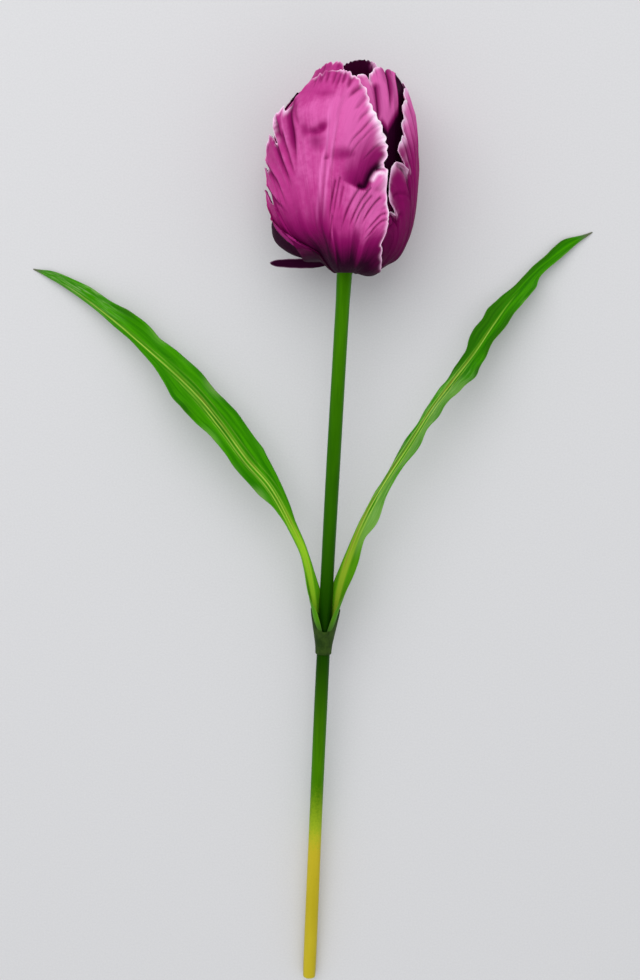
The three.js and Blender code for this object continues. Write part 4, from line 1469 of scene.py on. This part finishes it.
def stem():
    """The stem and the receptacle at its top, with shallow flutes."""
    profile = [(0.35, 0.35), (2.2, 0.10), (3.5, 0.0), (3.75, 0.12), (3.82, 0.6), (3.88, 2.0)]
    profile += [(4.0 + 0.06 * math.sin(z / 23) + 0.0009 * max(z - 200, 0), z) for z in range(8, 432, 8)]
    profile += [
        (4.5, 436), (4.5, 439.5), (4.9, 440.8), (5.55, 442.2), (5.6, 447), (5.1, 448.7), (4.3, 449.3),
        (0.4, 449.5),
    ]
    piece = turned("flower_stem", profile)
    capped(piece, (profile[0][1], profile[-1][1]))

    def change(points):
        angle = np.arctan2(points[:, 1], points[:, 0])
        flute = 1 + 0.012 * np.cos(3 * angle + points[:, 2] / 90) + 0.006 * np.cos(7 * angle)
        points[:, :2] *= flute[:, None]
        return points

    return put_on_stem(piece, change)


def cuff_material():
    material, tree, shader = new_material("cuff_skin")
    place = coordinates(tree, "Object")
    fibre = noise(tree, stretched(tree, place, (500, 40, 500)), 1.0, 4.0, 0.6, 0.3)
    blotch = noise(tree, place, 160.0, 4.0, 0.6)
    colour = wash(tree, CUFF_DARK, CUFF_LIGHT, blotch, 0.35, 0.65)
    colour = wash(tree, colour, CUFF_FIBRE, fibre, 0.45, 0.75, 0.0, 0.5)
    surface(tree, shader, colour, blotch, (0.50, 0.66))
    gloss(shader, 0.15, CUFF_SHINE)
    bump(tree, shader, fibre, 0.0005, 0.6)
    return material


def cuff():
    """The cuff of the leaves: a thin cup that dips at the front and the back, and rises behind each leaf."""
    outside = [
        (4.75, 210.5), (4.95, 211.0), (5.0, 213), (5.3, 216), (5.8, 219), (6.3, 222), (6.9, 225),
        (7.35, 227.5), (7.45, 229),
    ]
    lip = [(7.3, 229.6), (6.9, 229.7), (6.6, 229.2)]
    inside = [
        (6.1, 226.5), (5.4, 224), (4.7, 221.5), (4.42, 219), (4.4, 214), (4.42, 210.8), (4.55, 210.5),
        (4.75, 210.5),
    ]
    piece = turned("leaf_cuff", outside + lip + inside)
    bpy.ops.object.mode_set(mode="EDIT")
    bpy.ops.mesh.select_all(action="SELECT")
    bpy.ops.mesh.remove_doubles(threshold=1e-3)
    bpy.ops.mesh.normals_make_consistent(inside=False)
    bpy.ops.object.mode_set(mode="OBJECT")

    def change(points):
        azimuth = np.arctan2(points[:, 0], -points[:, 1])
        top = smooth(points[:, 2], 221, 229.5)
        points[:, 2] -= 4.2 * top * np.abs(np.cos(azimuth)) ** 3
        rise = 9.0 * top**2 * np.abs(np.sin(azimuth)) ** 5
        points[:, 2] += rise
        points[:, :2] *= (1 + 0.024 * rise + 0.015 * np.cos(5 * azimuth) * top)[:, None]
        return points

    return put_on_stem(piece, change)


# ---------------------------------------------------------------------------------- the heart of the flower

PISTIL_GREEN = (0.20, 0.26, 0.05)
PISTIL_LIGHT = (0.36, 0.42, 0.12)
PISTIL_DOWN = (0.55, 0.55, 0.28)
ANTHER_DARK = (0.022, 0.008, 0.030)
ANTHER_VIOLET = (0.050, 0.022, 0.060)
ANTHER_POLLEN = (0.16, 0.10, 0.12)


def pistil_material():
    material, tree, shader = new_material("pistil_skin")
    place = coordinates(tree, "Object")
    fibre = noise(tree, stretched(tree, place, (700, 60, 700)), 1.0, 4.0, 0.6, 0.3)
    down = noise(tree, place, 2200.0, 3.0, 0.6)
    colour = wash(tree, PISTIL_GREEN, PISTIL_LIGHT, fibre, 0.35, 0.65)
    surface(tree, shader, wash(tree, colour, PISTIL_DOWN, down, 0.5, 0.7, 0.0, 0.5), down, (0.45, 0.65))
    bump(tree, shader, down, 0.0003, 0.6)
    return material


def anther_material():
    material, tree, shader = new_material("anther_dust")
    place = coordinates(tree, "Object")
    dust = noise(tree, place, 3000.0, 3.0, 0.7)
    patch = noise(tree, place, 300.0, 3.0, 0.6)
    colour = wash(tree, ANTHER_DARK, ANTHER_VIOLET, patch, 0.35, 0.65)
    surface(tree, shader, wash(tree, colour, ANTHER_POLLEN, dust, 0.55, 0.72, 0.0, 0.6), dust, (0.7, 0.9))
    bump(tree, shader, dust, 0.0004, 0.8)
    return material


# ---------------------------------------------------------------------------------- the camera and the light

VIEW_PLACE = (-13.84, -807.84, 430.30)
VIEW_PITCH = math.radians(8.4)
VIEW_ROLL = math.radians(2.769)
VIEW_LENS = 50
FLOOR_SIZE = 12
PAPER_DARK = (0.66, 0.66, 0.665)
PAPER_LIGHT = (0.69, 0.69, 0.695)
SKY_COLOUR = (0.96, 0.97, 1.0, 1)
SKY_STRENGTH = 0.72


def add_camera():
    """A camera over the flower, placed and turned in the flower's own directions."""
    data = bpy.data.cameras.new("view")
    data.lens = VIEW_LENS
    data.sensor_fit = "AUTO"
    data.sensor_width = 36
    data.clip_start, data.clip_end = 0.01, 50
    camera = bpy.data.objects.new("view", data)
    bpy.context.scene.collection.objects.link(camera)
    lean, turn = math.cos(VIEW_PITCH), math.sin(VIEW_PITCH)
    cosine, sine = math.cos(VIEW_ROLL), math.sin(VIEW_ROLL)
    right = (cosine, 0, sine)
    up = (-lean * sine, turn, lean * cosine)
    back = (-turn * sine, -lean, turn * cosine)
    axes = [Vector((laid(way) - laid((0, 0, 0))) * METRE) for way in (right, up, back)]
    camera.matrix_world = Matrix.Translation(laid(VIEW_PLACE)) @ Matrix(axes).transposed().to_4x4()
    bpy.context.scene.camera = camera


def soft_light(name, place, target, size, power):
    data = bpy.data.lights.new(name, "AREA")
    data.shape = "DISK"
    data.size, data.energy = size, power
    light = bpy.data.objects.new(name, data)
    bpy.context.scene.collection.objects.link(light)
    light.location = place
    light.rotation_euler = (Vector(target) - Vector(place)).to_track_quat("-Z", "Y").to_euler()


def add_floor():
    bpy.ops.object.select_all(action="DESELECT")
    bpy.ops.mesh.primitive_plane_add(size=FLOOR_SIZE, location=(0, 0, 0))
    floor = bpy.context.object
    floor.name = floor.data.name = "studio_floor"
    material, tree, shader = new_material("studio_paper")
    paper = noise(tree, coordinates(tree, "Object"), 900.0, 3.0, 0.6)
    put(tree, shader.inputs["Base Color"], wash(tree, PAPER_DARK, PAPER_LIGHT, paper, 0.3, 0.7))
    shader.inputs["Roughness"].default_value = 0.85
    shader.inputs["Specular IOR Level"].default_value = 0.15
    floor.data.materials.append(material)


def add_light():
    world = bpy.data.worlds.new("studio")
    bpy.context.scene.world = world
    world.use_nodes = True
    background = world.node_tree.nodes["Background"]
    background.inputs["Color"].default_value = SKY_COLOUR
    background.inputs["Strength"].default_value = SKY_STRENGTH
    bpy.context.scene.view_settings.view_transform = "Standard"
    soft_light("key", (-0.45, 1.05, 1.50), (0, 0.12, 0), 2.3, 18.5)
    soft_light("fill", (0.6, -0.5, 1.4), (0, 0, 0), 1.2, 0.8)


# ---------------------------------------------------------------------------------- putting it together

add_camera()
finished(front_petal(), "petal", "tepal_outer_front")
finished(right_petal(), "petal", "tepal_outer_right")
finished(left_petal(), "petal", "tepal_outer_left")
finished(spur(), "petal")
finished(inner_right_petal(), "petal", "tepal_inner_right")
finished(inner_back_petal(), "petal", "tepal_inner_back")
finished(inner_left_petal(), "petal", "tepal_inner_left")
finished(leaf("left_leaf", LEFT_LEAF), "leaf", "leaf_left")
finished(leaf("right_leaf", RIGHT_LEAF), "leaf", "leaf_right")

flower_stem = stem()
flower_stem.data.materials.append(stem_material())
finished(flower_stem, "stem", "stem")
leaf_cuff = cuff()
leaf_cuff.data.materials.append(cuff_material())
finished(leaf_cuff, "collar", "leaf_collar")

pistil_skin, anther_dust = pistil_material(), anther_material()
for node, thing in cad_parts.items():
    if node == "pistil" or node.startswith("stamen"):
        skin = pistil_skin if node == "pistil" else anther_dust
        for holder in thing.material_slots:
            holder.material = skin

add_floor()
add_light()
